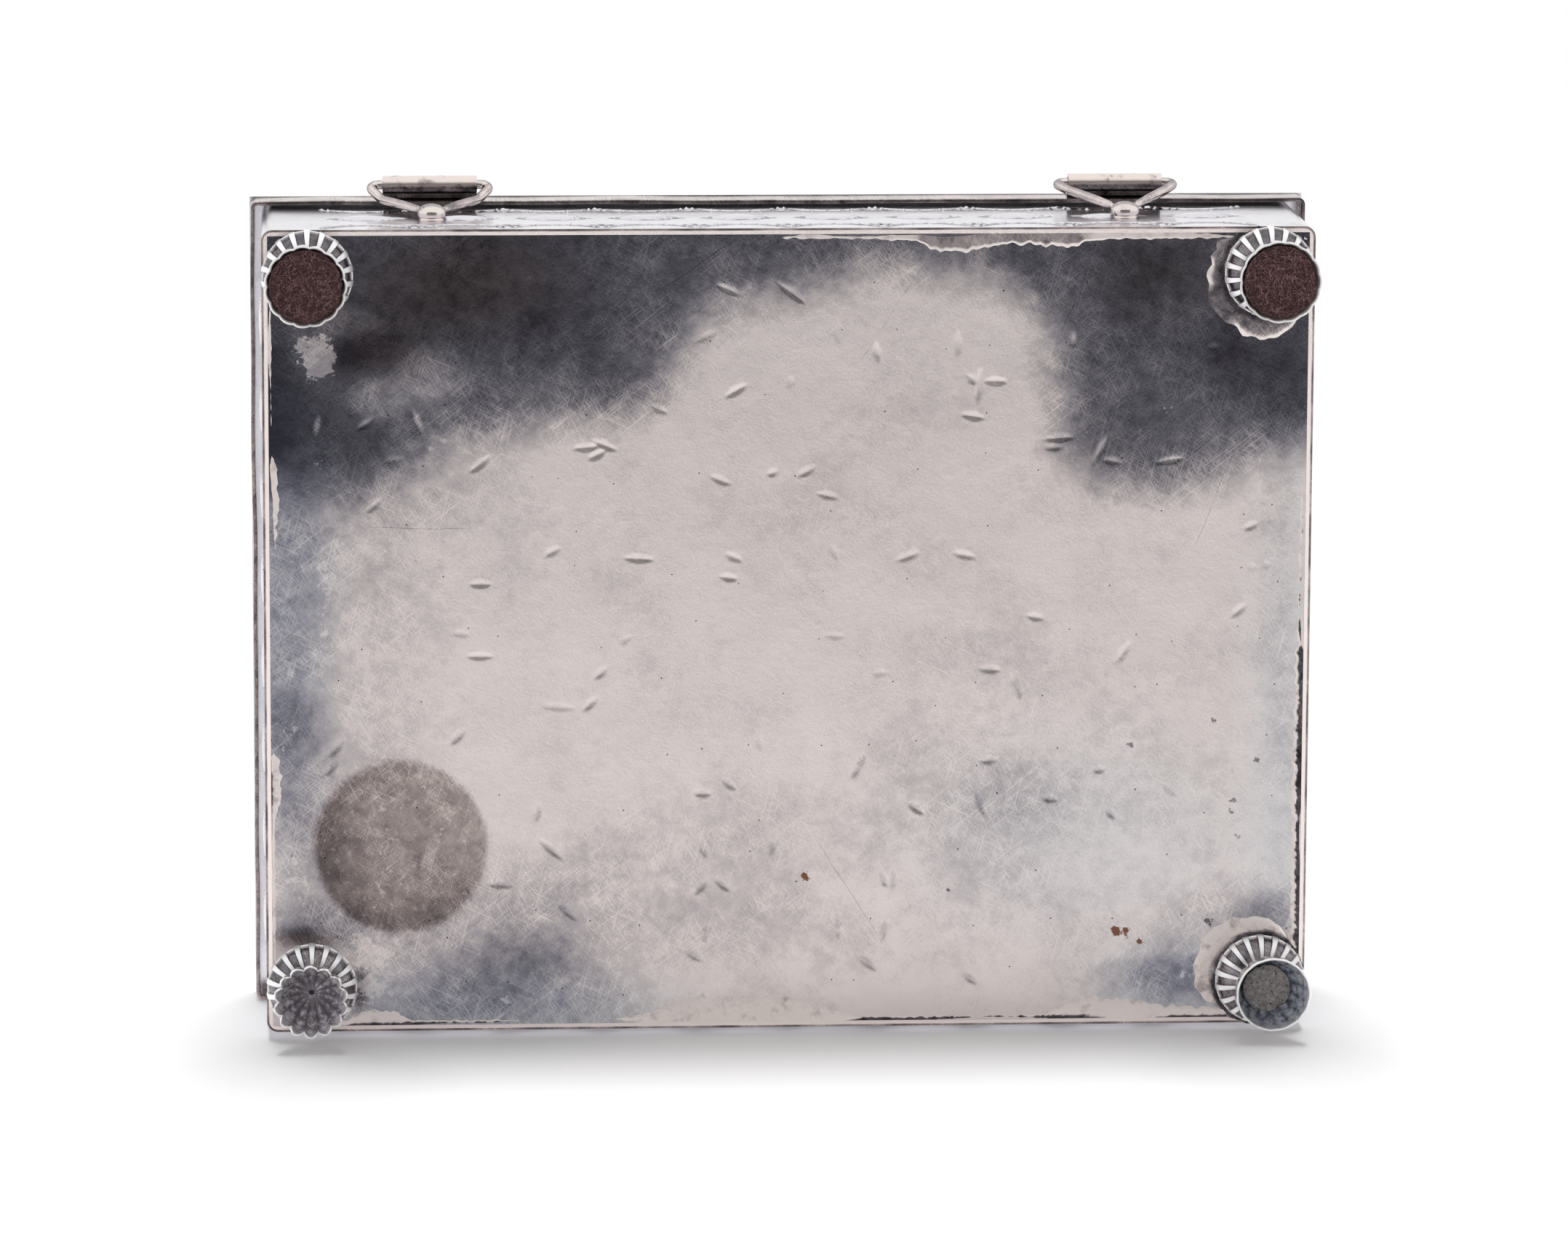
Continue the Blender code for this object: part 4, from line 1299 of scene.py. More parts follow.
# Foot cups
# A fluted cup stands apex to apex on each dome. The back pair and one front cup are filed
# level; the last was left with its open scalloped mouth.
CUP_STEPS_PER_LOBE = 12
CUP_RINGS = 14
CUP_WALL = 0.35 * MM
CUP_NECK_RADIUS = 1.9 * MM
CUP_LIP = 0.12 * MM
CUP_LIP_SHARES = (0.3, 0.7)
NECK_OVERLAP = 0.05 * MM
CUP_EYE = 0.3 * MM
CUP_EYE_SINK = 0.1 * MM

# The flutes: how sharp they are, where they end at the neck, and how they fade to the middle
CUSP_SHARPNESS = 0.8
BELLY_RISE = 1.1
NECK_SHARE = 0.98
FLUTE_FADE_RADIUS = 3 * MM
SCALLOP_HEIGHT = 0.5 * MM
SCALLOP_SHARE = 0.25

# The masks: rings from the lip to where the inside starts, and the bright lip as shares of height
INSIDE_FROM_RINGS = 3.5
INSIDE_FADE_RINGS = 1.5
FLUTE_DIRT = 0.9
BRIGHT_LIP_SHARE = 0.06
BRIGHT_LIP_FADE = 0.05

# Flutes of each cup, and their depth in millimetres at its mouth and at its belly
CUPS = {
    "back_left": {"lobes": 15, "mouth": 0.12, "belly": 0.42},
    "back_right": {"lobes": 15, "mouth": 0.20, "belly": 0.42},
    "front_left": {"lobes": 15, "mouth": 0.03, "belly": 0.34},
    "front_right": {"lobes": 14, "mouth": 0.62, "belly": 0.50},
}

# How far each cup's mouth is off its dome's middle, because it was soldered on a little askew
CUP_LEAN = {
    "back_left": (-0.38 * MM, -0.22 * MM),
    "back_right": (0.25 * MM, -0.30 * MM),
    "front_left": (-0.85 * MM, -0.25 * MM),
    "front_right": (0.20 * MM, 0.0),
}


def lean(points, side):
    """Shift points of a cup, and of what it holds, by its lean: most at its mouth."""
    share = 1 - points[:, 2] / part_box("foot_cup_" + side)[1].z
    points[:, :2] += np.clip(share, 0, 1)[:, None] * np.array(CUP_LEAN[side])


def cup_profile(low, high, wide):
    """Radii and heights of a cup: down its outside, round its lip, and up its inside."""
    def wall(radius, neck, height, foot):
        end_turn = math.acos(neck / radius)
        full = height / math.sin(end_turn)
        turns = [end_turn * ring / CUP_RINGS for ring in range(CUP_RINGS + 1)]
        return [(radius * math.cos(turn), foot + full * math.sin(turn)) for turn in turns]

    tall = high.z - low.z - CUP_LIP
    outside = wall(wide, CUP_NECK_RADIUS, tall, CUP_LIP)
    inside = wall(wide - CUP_WALL, CUP_NECK_RADIUS - CUP_WALL, tall - CUP_WALL, CUP_LIP)
    neck = (CUP_NECK_RADIUS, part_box("foot_base_back_left")[0].z + NECK_OVERLAP)
    rim = [(wide - CUP_WALL * share, 0.0) for share in CUP_LIP_SHARES]
    eye = (CUP_EYE, inside[-1][1] + CUP_EYE_SINK)
    return [neck, *outside[::-1], *rim, *inside, eye]


for side, cup in CUPS.items():
    low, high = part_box("foot_cup_" + side)
    middle = foot_middle(side)
    wide = (high.x - low.x) / 2
    steps = cup["lobes"] * CUP_STEPS_PER_LOBE
    shell = turned_shell("foot_cup_shell_" + side, middle, steps, cup_profile(low, high, wide))
    points = read_points(shell)
    turn, radius = around(points, middle)
    ring = np.arange(len(points)) // steps
    up = points[:, 2] / (high.z - low.z)
    cusp = 1 - np.abs(np.sin(turn * cup["lobes"] / 2)) ** CUSP_SHARPNESS
    swell = np.sin(math.pi * np.clip(up * BELLY_RISE, 0, 1))
    wave = cup["mouth"] + (cup["belly"] - cup["mouth"]) * swell
    sunk = np.where(up > NECK_SHARE, 0, wave) * MM * cusp
    spread(points, middle, -sunk * np.clip(radius / FLUTE_FADE_RADIUS, 0, 1) / radius)
    if side == "front_right":
        points[:, 2] += cusp * SCALLOP_HEIGHT * smooth_step((SCALLOP_SHARE - up) / SCALLOP_SHARE)
    lean(points, side)
    write_points(shell, points)
    inside = smooth_step((ring - CUP_RINGS - INSIDE_FROM_RINGS) / INSIDE_FADE_RINGS)
    bright_lip = smooth_step((BRIGHT_LIP_SHARE - up) / BRIGHT_LIP_FADE)
    write_mask(shell, "hollow", np.clip(cusp * FLUTE_DIRT * (1 - bright_lip), 0, 1))
    write_mask(shell, "inside", inside)
    write_mask(shell, "deep", inside * up)


# Painted shade: the near-black spot at the bottom of the open cup, where its deep neck falls
# dark: its place in pixels, and its size
CUP_SHADE_PIXEL = (428.5, 1363)
CUP_SHADE_RADIUS_MM = 0.42
CUP_SHADE_BLACK = linear(22, 20, 22)


def make_cup_silver(name, inner_colour, deep_colour, streaks, shade_spot=None):
    """Ribbed silver outside; inside, a dull colour that darkens to the middle, and a painted shade
    spot if given.
    """
    material, tree, shader, place = new_material(name)
    hollow, inside, deep = [mask_of(tree, mask) for mask in ("hollow", "inside", "deep")]
    smudge = noise(tree, place, 1.3, detail=6, roughness=0.65)
    tarnish = calc(tree, "MULTIPLY", hollow, 0.62)
    tarnish = sway(tree, tarnish, smudge, 0.35)
    metal = aged_silver(tree, place, tarnish, remap(tree, smudge, 0.4, 0.7, 0.1, 0.7))
    outer = rub_bright(tree, metal, hollow, 0.3, 0.85, RIB_CREAM)
    depth = sway(tree, deep, smudge, streaks)
    depth = calc(tree, "MULTIPLY_ADD", hollow, 0.5, depth, clamp=True)
    lining = blend_colours(tree, depth, inner_colour, deep_colour)
    # Painted shade: a near-black spot at the bottom of the open cup
    if shade_spot:
        middle = at_pixel(*shade_spot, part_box("foot_cup_front_right")[1].z) / MM
        offset = add_node(tree, "ShaderNodeVectorMath", {0: place, 1: middle}, operation="SUBTRACT")
        inputs = {0: offset.outputs[0], 1: FLAT}
        flat = add_node(tree, "ShaderNodeVectorMath", inputs, operation="MULTIPLY").outputs[0]
        away = add_node(tree, "ShaderNodeVectorMath", {0: flat}, operation="LENGTH")
        away = sway(tree, away.outputs["Value"], smudge, 0.5)
        black = remap(tree, away, CUP_SHADE_RADIUS_MM * 0.7, CUP_SHADE_RADIUS_MM, 1.0, 0.0)
        lining = blend_colours(tree, black, lining, CUP_SHADE_BLACK)
    colour = blend_colours(tree, inside, outer, lining)
    tree.links.new(calc(tree, "MULTIPLY_ADD", inside, -0.8, 1.0), shader.inputs["Metallic"])
    rough = calc(tree, "MULTIPLY_ADD", inside, 0.25, metal["Roughness"])
    dress(tree, shader, colour, rough, metal["Height"], 0.8)
    return material


cup_finishes = {
    "back_left": make_cup_silver("cup_behind_felt", silver(150, 136, 130), silver(70, 60, 62), 0.6),
    "front_left": make_cup_silver("cup_with_glue", silver(170, 172, 180), silver(60, 66, 76), 2.6),
    "front_right": make_cup_silver("cup_open", silver(208, 203, 208), silver(94, 90, 95), 3.0,
                                   CUP_SHADE_PIXEL),
}
cup_finishes["back_right"] = cup_finishes["back_left"]
for side, finish in cup_finishes.items():
    shell = bpy.data.objects["foot_cup_shell_" + side]
    finish_piece(shell, "box", finish, ["foot_cup_" + side])

# Felt pads
# A disc of dark maroon felt pressed into each back cup, just short of its mouth, with a
# crowned face, a soft edge and loose lighter fibres.
PAD_STEPS = 96
PAD_RINGS = 22
PAD_FUZZ = 0.07 * MM
PAD_SPREAD = 0.22 * MM
PAD_CROWN = 0.12 * MM
PAD_FACE_DEPTH = 0.2 * MM
PAD_BACK = ((0.9, 0.0), (0.98, 0.4 * MM))   # share of the radius, and how far below the back
PAD_EDGE = 0.5 * MM
BACK_HOLE = 0.2 * MM
FACE_HOLE = 0.05 * MM
COARSE_FUZZ = 0.5 * MM
FINE_FUZZ = 0.2 * MM
FINE_FUZZ_SHARE = 0.7
FIBRE_COUNT = 420
FIBRE_RADIUS = 0.028 * MM
FIBRE_POINTS = 5
FIBRE_LENGTHS_MM = (0.7, 2.6)
FIBRE_CURL = 0.55
FIBRE_SPREAD_SHARE = 0.97
FIBRE_RISE_MM = 0.05
FIBRE_BOW_MM = 0.10
LEAST_RISE_SHARE = 0.2
CAP_WELD = 0.001 * MM   # joins the caps of the fibres to their sides
PAD_SIDES = ("back_left", "back_right")


def make_felt(name, colours, grain_size):
    """Matt felt of matted fibres, in mixed shades."""
    material, tree, shader, place = new_material(name, metallic=0.0)
    mat = noise(tree, place, grain_size, detail=8, roughness=0.75)
    strands = noise(tree, place, 2.4, detail=5, roughness=0.7, stretch=(1, 0.29, 1), turn=35)
    crossed = noise(tree, place, 2.4, detail=5, roughness=0.7, stretch=(0.31, 1, 1), turn=-15)
    amount = calc(tree, "MULTIPLY", calc(tree, "ADD", strands, crossed), 0.5)
    amount = sway(tree, amount, mat, 0.8)
    stops = [(0.36, colours[0]), (0.50, colours[1]), (0.66, colours[2])]
    shader.inputs["Sheen Weight"].default_value = 0.10
    shader.inputs["Sheen Roughness"].default_value = 0.5
    shader.inputs["Specular IOR Level"].default_value = 0.15
    rough = remap(tree, mat, 0.3, 0.7, 0.9, 1.0)
    dress(tree, shader, ramp(tree, amount, stops), rough, calc(tree, "MULTIPLY", amount, 0.25))
    return material


FELT_SHADES = [linear(30, 16, 18), linear(56, 34, 37), linear(96, 68, 68)]
FIBRE_SHADES = [linear(70, 44, 46), linear(112, 80, 80), linear(168, 138, 132)]
felt = make_felt("felt", FELT_SHADES, 5.0)
felt_fibre = make_felt("felt_fibre", FIBRE_SHADES, 1.5)
for number, side in enumerate(PAD_SIDES):
    low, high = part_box("felt_pad_" + side)
    middle = foot_middle(side)
    wide = (high.x - low.x) / 2 + PAD_SPREAD
    face = [(wide, low.z + PAD_CROWN)]
    for ring in range(1, PAD_RINGS - 1):
        out_share = 1 - ring / PAD_RINGS
        face.append((wide * math.sin(math.pi / 2 * out_share), low.z + PAD_CROWN * out_share**3))
    back = [(wide * share, high.z - drop) for share, drop in PAD_BACK]
    profile = [(BACK_HOLE, high.z), *back, (wide, low.z + PAD_EDGE), *face, (FACE_HOLE, low.z)]
    pad = turned_shell("felt_disc_" + side, middle, PAD_STEPS, profile)
    points = read_points(pad)
    fuzz = noise_over(points, COARSE_FUZZ) + FINE_FUZZ_SHARE * noise_over(points, FINE_FUZZ)
    facing_down = points[:, 2] < low.z + PAD_FACE_DEPTH
    points[facing_down, 2] -= np.clip(fuzz[facing_down] * PAD_FUZZ, -PAD_FUZZ, PAD_FUZZ)
    spread(points, middle, ~facing_down * fuzz * PAD_FUZZ / around(points, middle)[1])
    lean(points, side)
    write_points(pad, points)
    finish_piece(pad, "box", felt, ["felt_pad_" + side])

    bpy.ops.object.select_all(action="DESELECT")
    bpy.ops.curve.primitive_bezier_curve_add()
    fibres = bpy.context.object
    fibres.name = "felt_fibres_" + side
    fibres.data.splines.clear()
    fibres.data.bevel_depth = FIBRE_RADIUS
    fibres.data.bevel_resolution = 0
    fibres.data.use_fill_caps = True
    fibres.location = (0, 0, 0)
    random = np.random.default_rng(number)
    for _ in range(FIBRE_COUNT):
        away = wide * FIBRE_SPREAD_SHARE * math.sqrt(random.random())
        bearing = random.random() * 2 * math.pi
        heading = random.random() * 2 * math.pi
        curl = random.normal(0, FIBRE_CURL)
        length = random.uniform(*FIBRE_LENGTHS_MM) * MM
        place = np.array((middle.x + away * math.cos(bearing), middle.y + away * math.sin(bearing)))
        strand = fibres.data.splines.new("POLY")
        strand.points.add(FIBRE_POINTS - 1)
        for step, point in enumerate(strand.points):
            bow = FIBRE_BOW_MM * math.sin(math.pi * step / (FIBRE_POINTS - 1))
            rise = (FIBRE_RISE_MM + bow) * MM
            offset = place - np.array(middle.xy)
            if np.hypot(*offset) > wide:
                place = np.array(middle.xy) + offset * (wide / np.hypot(*offset))
            point.co = (*place, low.z - rise * random.uniform(LEAST_RISE_SHARE, 1.0), 1)
            ahead = np.array((math.cos(heading), math.sin(heading)))
            place = place + length / FIBRE_POINTS * ahead
            heading += curl
    bpy.ops.object.convert(target="MESH")
    open_mesh()
    bpy.ops.mesh.remove_doubles(threshold=CAP_WELD)
    close_mesh()
    points = read_points(fibres)
    lean(points, side)
    write_points(fibres, points)
    finish_piece(fibres, "box", felt_fibre)

# Dried glue
# The pad that was in the photograph's lower right foot is gone, and its dried grey glue is
# left at the bottom of the cup, bubbled and pitted.
GLUE_STEPS = 80
GLUE_RINGS = 18
GLUE_FACE = 0.1 * MM
GLUE_BACK_SHARE = 0.93
GLUE_EDGE = ((1.0, 0.25 * MM), (0.985, 0.14 * MM))   # share of the radius, and height
GLUE_FACE_DEPTH = 0.2 * MM
COARSE_LUMPS = 0.9 * MM
FINE_LUMPS = 0.35 * MM
FINE_LUMP_SHARE = 0.5
LUMP_HEIGHT = 0.12 * MM
LUMP_LIMITS = (-0.1 * MM, 0.2 * MM)
BITTEN_SHARE = 0.10
BITTEN_FROM_SHARE = 0.7
low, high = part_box("glue_disc_front_left")
middle = foot_middle("front_left")
wide = (high.x - low.x) / 2
face = [(wide * (1 - ring / GLUE_RINGS), low.z + GLUE_FACE) for ring in range(1, GLUE_RINGS)]
edge = [(wide * share, low.z + height) for share, height in GLUE_EDGE]
profile = [(BACK_HOLE, high.z), (wide * GLUE_BACK_SHARE, high.z), *edge, *face,
           (FACE_HOLE, low.z + GLUE_FACE)]
glue_piece = turned_shell("dried_glue_front_left", middle, GLUE_STEPS, profile)
points = read_points(glue_piece)
lumps = noise_over(points, COARSE_LUMPS) + FINE_LUMP_SHARE * noise_over(points, FINE_LUMPS)
out_share = around(points, middle)[1] / wide
face_down = points[:, 2] < low.z + GLUE_FACE_DEPTH
points[face_down, 2] += np.clip(lumps[face_down] * LUMP_HEIGHT, *LUMP_LIMITS)
bitten = smooth_step((out_share - BITTEN_FROM_SHARE) / (1 - BITTEN_FROM_SHARE))
spread(points, middle, -BITTEN_SHARE * np.clip(lumps, 0, 1) * bitten)
lean(points, "front_left")
write_points(glue_piece, points)

# Greys of the dried glue, from its dark patches to its light ones
GLUE_GREYS = [
    (0.35, linear(84, 80, 80)), (0.52, linear(118, 113, 111)), (0.68, linear(148, 144, 141)),
]
GLUE_PIT_GREY = linear(44, 42, 44)


def make_glue():
    """Matt grey glue with dark pits."""
    material, tree, shader, place = new_material("dried_glue", metallic=0.0)
    mottle = noise(tree, place, 1.4, detail=8, roughness=0.75)
    pits = noise(tree, place, 2.4, detail=3, roughness=0.6)
    colour = ramp(tree, mottle, GLUE_GREYS)
    colour = blend_colours(tree, remap(tree, pits, 0.58, 0.66), colour, GLUE_PIT_GREY)
    height = calc(tree, "MULTIPLY_ADD", mottle, 0.15, calc(tree, "MULTIPLY", pits, -0.2))
    dress(tree, shader, colour, remap(tree, mottle, 0.3, 0.7, 0.55, 0.85), height)
    return material


finish_piece(glue_piece, "box", make_glue(), ["glue_disc_front_left"])

# Hinge links
# Round silver wire bent to a triangle behind the wall. Its straight run turns in the lid's
# knuckle, and its two ends meet under the half ball that holds them.
WIRE_SWELL = 0.09 * MM
LINK_STRETCH = 1.045
LINK_WELD = 0.005 * MM
ROUND_SMOOTH_DEGREES = 60

# Painted shade on the flanks: how level a face may be, and a painted dark streak where faces tip
# this far back
FLANK_FROM = 0.60
FLANK_OVER = 0.45
FLANK_SHARE = 0.8
STREAK_TIP = 0.30
STREAK_WIDTH = 0.16
LINK_SHADE_STREAK = 0.45


def smooth_copy(node_name, name):
    """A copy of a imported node, merged and rounded off, as a piece of its own."""
    bpy.ops.object.select_all(action="DESELECT")
    piece = frame["nodes"][node_name].copy()
    piece.data = piece.data.copy()
    piece.parent = None
    piece.name = name
    piece.data.name = name
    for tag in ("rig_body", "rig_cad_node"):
        del piece[tag]
    bpy.context.scene.collection.objects.link(piece)
    piece.select_set(True)
    bpy.context.view_layer.objects.active = piece
    open_mesh()
    bpy.ops.mesh.remove_doubles(threshold=LINK_WELD)
    bpy.ops.mesh.tris_convert_to_quads()
    close_mesh()
    apply_modifier(piece, "SUBSURF", levels=1, render_levels=1)
    return piece


def make_wire_silver():
    """Silver polished by wear, with grey streaks and painted shade on its flanks."""
    material, tree, shader, place = new_material("wire_silver")
    streaks = noise(tree, place, 0.22, detail=3, roughness=0.5)
    tarnish = remap(tree, streaks, 0.45, 0.80, 0.0, 0.35)
    # Painted shade: the flanks of the wire and the ball are darkened in the colour
    tarnish = calc(tree, "MULTIPLY_ADD", mask_of(tree, "flank_shade"), 0.62, tarnish)
    metal = aged_silver(tree, place, tarnish, 0.5)
    bright = rub_bright(tree, metal, tarnish, 0.2, 0.8, silver(214, 206, 201))
    rough = calc(tree, "MULTIPLY", metal["Roughness"], 0.6)
    dress(tree, shader, bright, rough, metal["Height"], 0.15)
    return material


wire_silver = make_wire_silver()


def write_flank_shade(piece, shade_streak=0.0):
    """Keep on a piece its painted shade: on its flanks, and in a dark streak below."""
    normals = np.empty(len(piece.data.vertices) * 3)
    piece.data.vertices.foreach_get("normal", normals)
    normals = normals.reshape(-1, 3)
    flank_shade = smooth_step((FLANK_FROM - np.abs(normals[:, 2])) / FLANK_OVER)
    middle = np.exp(-(((normals[:, 1] - STREAK_TIP) / STREAK_WIDTH) ** 2)) * (normals[:, 2] < 0)
    write_mask(piece, "flank_shade", np.clip(FLANK_SHARE * flank_shade + shade_streak * middle, 0, 1))


for side in ("left", "right"):
    link = smooth_copy("hinge_link_" + side, "hinge_wire_" + side)
    open_mesh()
    bpy.ops.mesh.normals_make_consistent(inside=False)
    bpy.ops.transform.shrink_fatten(value=WIRE_SWELL)
    close_mesh()
    points = read_points(link)
    across = (points[:, 0].min() + points[:, 0].max()) / 2
    points[:, 0] = across + (points[:, 0] - across) * LINK_STRETCH
    write_points(link, points)
    # Painted shade on the wire's flanks, with a dark streak below
    write_flank_shade(link, LINK_SHADE_STREAK)
    nodes = ["hinge_link_" + side]
    finish_piece(link, "box", wire_silver, nodes, ROUND_SMOOTH_DEGREES)

# Hinge studs
# A half ball of silver is soldered over the two ends of each link, flat side to the wall, in
# a little collar of solder.
STUD_SEGMENTS = 40
STUD_RADIUS = 1.98 * MM
STUD_SQUASH = 0.62
STUD_STAND_OFF = 0.95 * MM
COLLAR_HEIGHT = 0.25 * MM
COLLAR_STEPS = ((0.4, 1.02), (0.3, 1.03), (0.3, 1.05))   # share of its height, and how it widens
back_face = wall_high.y

for side in ("left", "right"):
    low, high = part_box("hinge_stud_" + side)
    middle = Vector(((low.x + high.x) / 2, back_face + STUD_STAND_OFF, (low.z + high.z) / 2))
    stud = add_primitive(
        "hinge_ball_" + side,
        bpy.ops.mesh.primitive_uv_sphere_add,
        segments=STUD_SEGMENTS,
        ring_count=STUD_SEGMENTS // 2,
        radius=STUD_RADIUS,
        location=middle,
        rotation=(math.radians(90), 0, 0),
    )
    stud.scale = (1, 1, STUD_SQUASH)
    settle()
    open_mesh()
    bpy.ops.mesh.bisect(
        plane_co=(0, back_face + COLLAR_HEIGHT, 0),
        plane_no=(0, -1, 0),
        clear_outer=True,
        use_fill=True,
    )
    pick(stud, "faces", lambda face: face.normal.y < -0.99)
    for share, widening in COLLAR_STEPS:
        pull(0, -COLLAR_HEIGHT * share, 0)
        bpy.ops.transform.resize(value=(widening, 1, widening))
    close_outward()
    # Painted shade on the ball's flanks
    write_flank_shade(stud)
    nodes = ["hinge_stud_" + side]
    finish_piece(stud, "box", wire_silver, nodes, ROUND_SMOOTH_DEGREES)

# Lid rim
# A narrow strip bent round the top of the wall and soldered under the lid. It hangs a little
# clear of the wall, and its lower edge is slightly wavy.
RIM_CELL = 0.9 * MM
RIM_CORNER = 1.0 * MM
RIM_THICKNESS = 0.5 * MM
RIM_ROWS = 8
RIM_SOFT_EDGE = 0.1 * MM
RIM_WAVE_LENGTH = 14 * MM
RIM_WAVE = 0.12 * MM
RIM_WAVE_GAIN = 1.6
RIM_WAVY_HEIGHT = 1.5 * MM
LID_OVERLAP = 0.02 * MM
RIM_BROWN_MM = (0.3, 1.4)   # above the rim's lower edge, from the brownest to the least brown
rim_low, rim_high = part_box("lid_rim")
lid_low, lid_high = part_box("lid_sheet")
rim = outline_loop("lid_rim_bent", rim_low, rim_high, RIM_CORNER, RIM_CELL)
pull_rows(rim, lid_low.z - rim_low.z + LID_OVERLAP, RIM_ROWS)
close_outward()
points = read_points(rim)
out = outward(points, rim_low, rim_high, RIM_CORNER)
wander = np.clip(noise_over(points * FLAT, RIM_WAVE_LENGTH) * RIM_WAVE_GAIN, -1, 1)
points[:, :2] -= out * (RIM_WAVE * (1 + wander))[:, None]
edge = smooth_step((rim_low.z + RIM_WAVY_HEIGHT - points[:, 2]) / RIM_WAVY_HEIGHT)
points[:, 2] += edge * RIM_WAVE * (1 + wander)
write_points(rim, points)
apply_modifier(rim, "SOLIDIFY", thickness=RIM_THICKNESS, offset=-1, use_even_offset=True)
apply_modifier(rim, "BEVEL", width=RIM_SOFT_EDGE, segments=2, limit_method="ANGLE")


def make_rim_silver():
    """Silver that is brown with tarnish along the rim's lower edge."""
    material, tree, shader, place = new_material("rim_silver")
    height = add_node(tree, "ShaderNodeSeparateXYZ", {0: place}).outputs["Z"]
    brown_from, brown_to = [rim_low.z / MM + above for above in RIM_BROWN_MM]
    low_edge = remap(tree, height, brown_from, brown_to, 0.50, 0.10)
    smudge = noise(tree, place, 0.35, detail=5)
    tarnish = calc(tree, "MULTIPLY_ADD", remap(tree, smudge, 0.45, 0.7), 0.2, low_edge)
    brown = remap(tree, tarnish, 0.2, 0.5, 0.2, 1.0)
    metal = aged_silver(tree, place, tarnish, brown)
    dress(tree, shader, metal["Color"], metal["Roughness"], metal["Height"], 0.6)
    return material


finish_piece(rim, "lid", make_rim_silver(), ["lid_rim"])

# Lid sheet
# A flat sheet laid on the rim and filed flush with it. A border of stamps runs round its top,
# and the middle is plain, planished with a broad hammer.
LID_CELL = 0.48 * MM
LID_RELIEF_SHARE = 0.35
PLANISH_SIZE = 11 * MM
PLANISH_HEIGHT = 0.06 * MM
WORN_EDGE = 0.35 * MM
WORN_EDGE_DROP = 0.20 * MM

# How far in from the lid's edge the rows of its border lie
BORDER_ARCS = 5.4 * MM
BORDER_FANS = 4.0 * MM
BORDER_LEAVES = 9.4 * MM
BORDER_END_SHARE = 0.4
lid = sheet_grid("lid_sheet_stamped", lid_low, lid_high, lid_high.z, LID_CELL)
open_mesh()
close_slab(lid, lid_low.z - lid_high.z)
points = read_points(lid)
top = points[:, 2] > (lid_low.z + lid_high.z) / 2
middle = (lid_low + lid_high) / 2
half = (lid_high - lid_low) / 2
from_edge = [half[axis] - np.abs(points[:, axis] - middle[axis]) for axis in (0, 1)]
relief = np.zeros(len(points))
for axis, other in ((0, 1), (1, 0)):
    here = top & (from_edge[other] < from_edge[axis])
    inward = from_edge[other][here]
    along = points[here, axis] - middle[axis]
    room = 2 * half[axis] - 2 * PLAIN_END
    count = round(room / MOTIF_PITCH)
    pitch = room / count
    in_motif = np.mod(along + room / 2, pitch) - pitch / 2
    between = np.mod(along + room / 2 + pitch / 2, pitch) - pitch / 2
    inner = np.abs(along) < (count - BORDER_END_SHARE) * pitch / 2
    height = beaded_arc(in_motif, inward, BORDER_ARCS, 1)
    height += rayed_fan(between, inward - BORDER_FANS, 1) * inner
    height += bulged_leaf(in_motif, inward - BORDER_LEAVES)
    relief[here] = height * (np.abs(along) < room / 2)
hollow = np.clip(-relief / STAMP_DEPTH, 0, 1) * top
relief *= LID_RELIEF_SHARE
relief += PLANISH_HEIGHT * noise_over(points * FLAT, PLANISH_SIZE)
relief -= WORN_EDGE_DROP * (1 - smooth_step(np.minimum(*from_edge) / WORN_EDGE))
points[top, 2] += (relief - relief[top].max())[top]
write_points(lid, points)
write_mask(lid, "hollow", hollow)
finish_piece(lid, "lid", wall_silver, ["lid_sheet"])

# Hinge knuckles
# A strip of thin silver rolled round each link's straight run, with its leaf turned up and
# soldered to the outside of the rim.
KNUCKLE_THICKNESS = 0.33 * MM
ROLL_DEGREES = 295
ROLL_STEPS = 30
KNUCKLE_CUTS = 24
LEAF_BEND_STEPS = 5
LEAF_BEND_RADIUS = 0.4 * MM
LEAF_SINK = 0.15 * MM
LEAF_REACH_SHARES = (0.28, 0.7)
LEAF_LIFT = 0.03 * MM
LEAF_BACK = 0.02 * MM
TOP_EDGE_HALF_WIDTH = 0.05 * MM
# Painted shade on the roll: how far past its axis the side towards the wall darkens, and over what
KNUCKLE_SHADE_FROM = 0.1 * MM
KNUCKLE_SHADE_FADE = 0.5 * MM
hinge_axis = Vector(frame["joints"][0]["pos_m"])


def make_knuckle_silver():
    """Bright rolled strip with brown tarnish smudges, and painted shade on its leaf and underneath.
    """
    material, tree, shader, place = new_material("knuckle_silver")
    smudge = noise(tree, place, 0.5, detail=5)
    tarnish = remap(tree, smudge, 0.5, 0.75, 0.0, 0.3)
    # The hollow mask here is painted shade on the leaf and under the roll
    tarnish = calc(tree, "MULTIPLY_ADD", mask_of(tree, "hollow"), 0.75, tarnish)
    metal = aged_silver(tree, place, tarnish, 0.8)
    bright = rub_bright(tree, metal, tarnish, 0.25, 0.85, silver(220, 208, 203))
    dress(tree, shader, bright, metal["Roughness"], metal["Height"], 0.6)
    return material


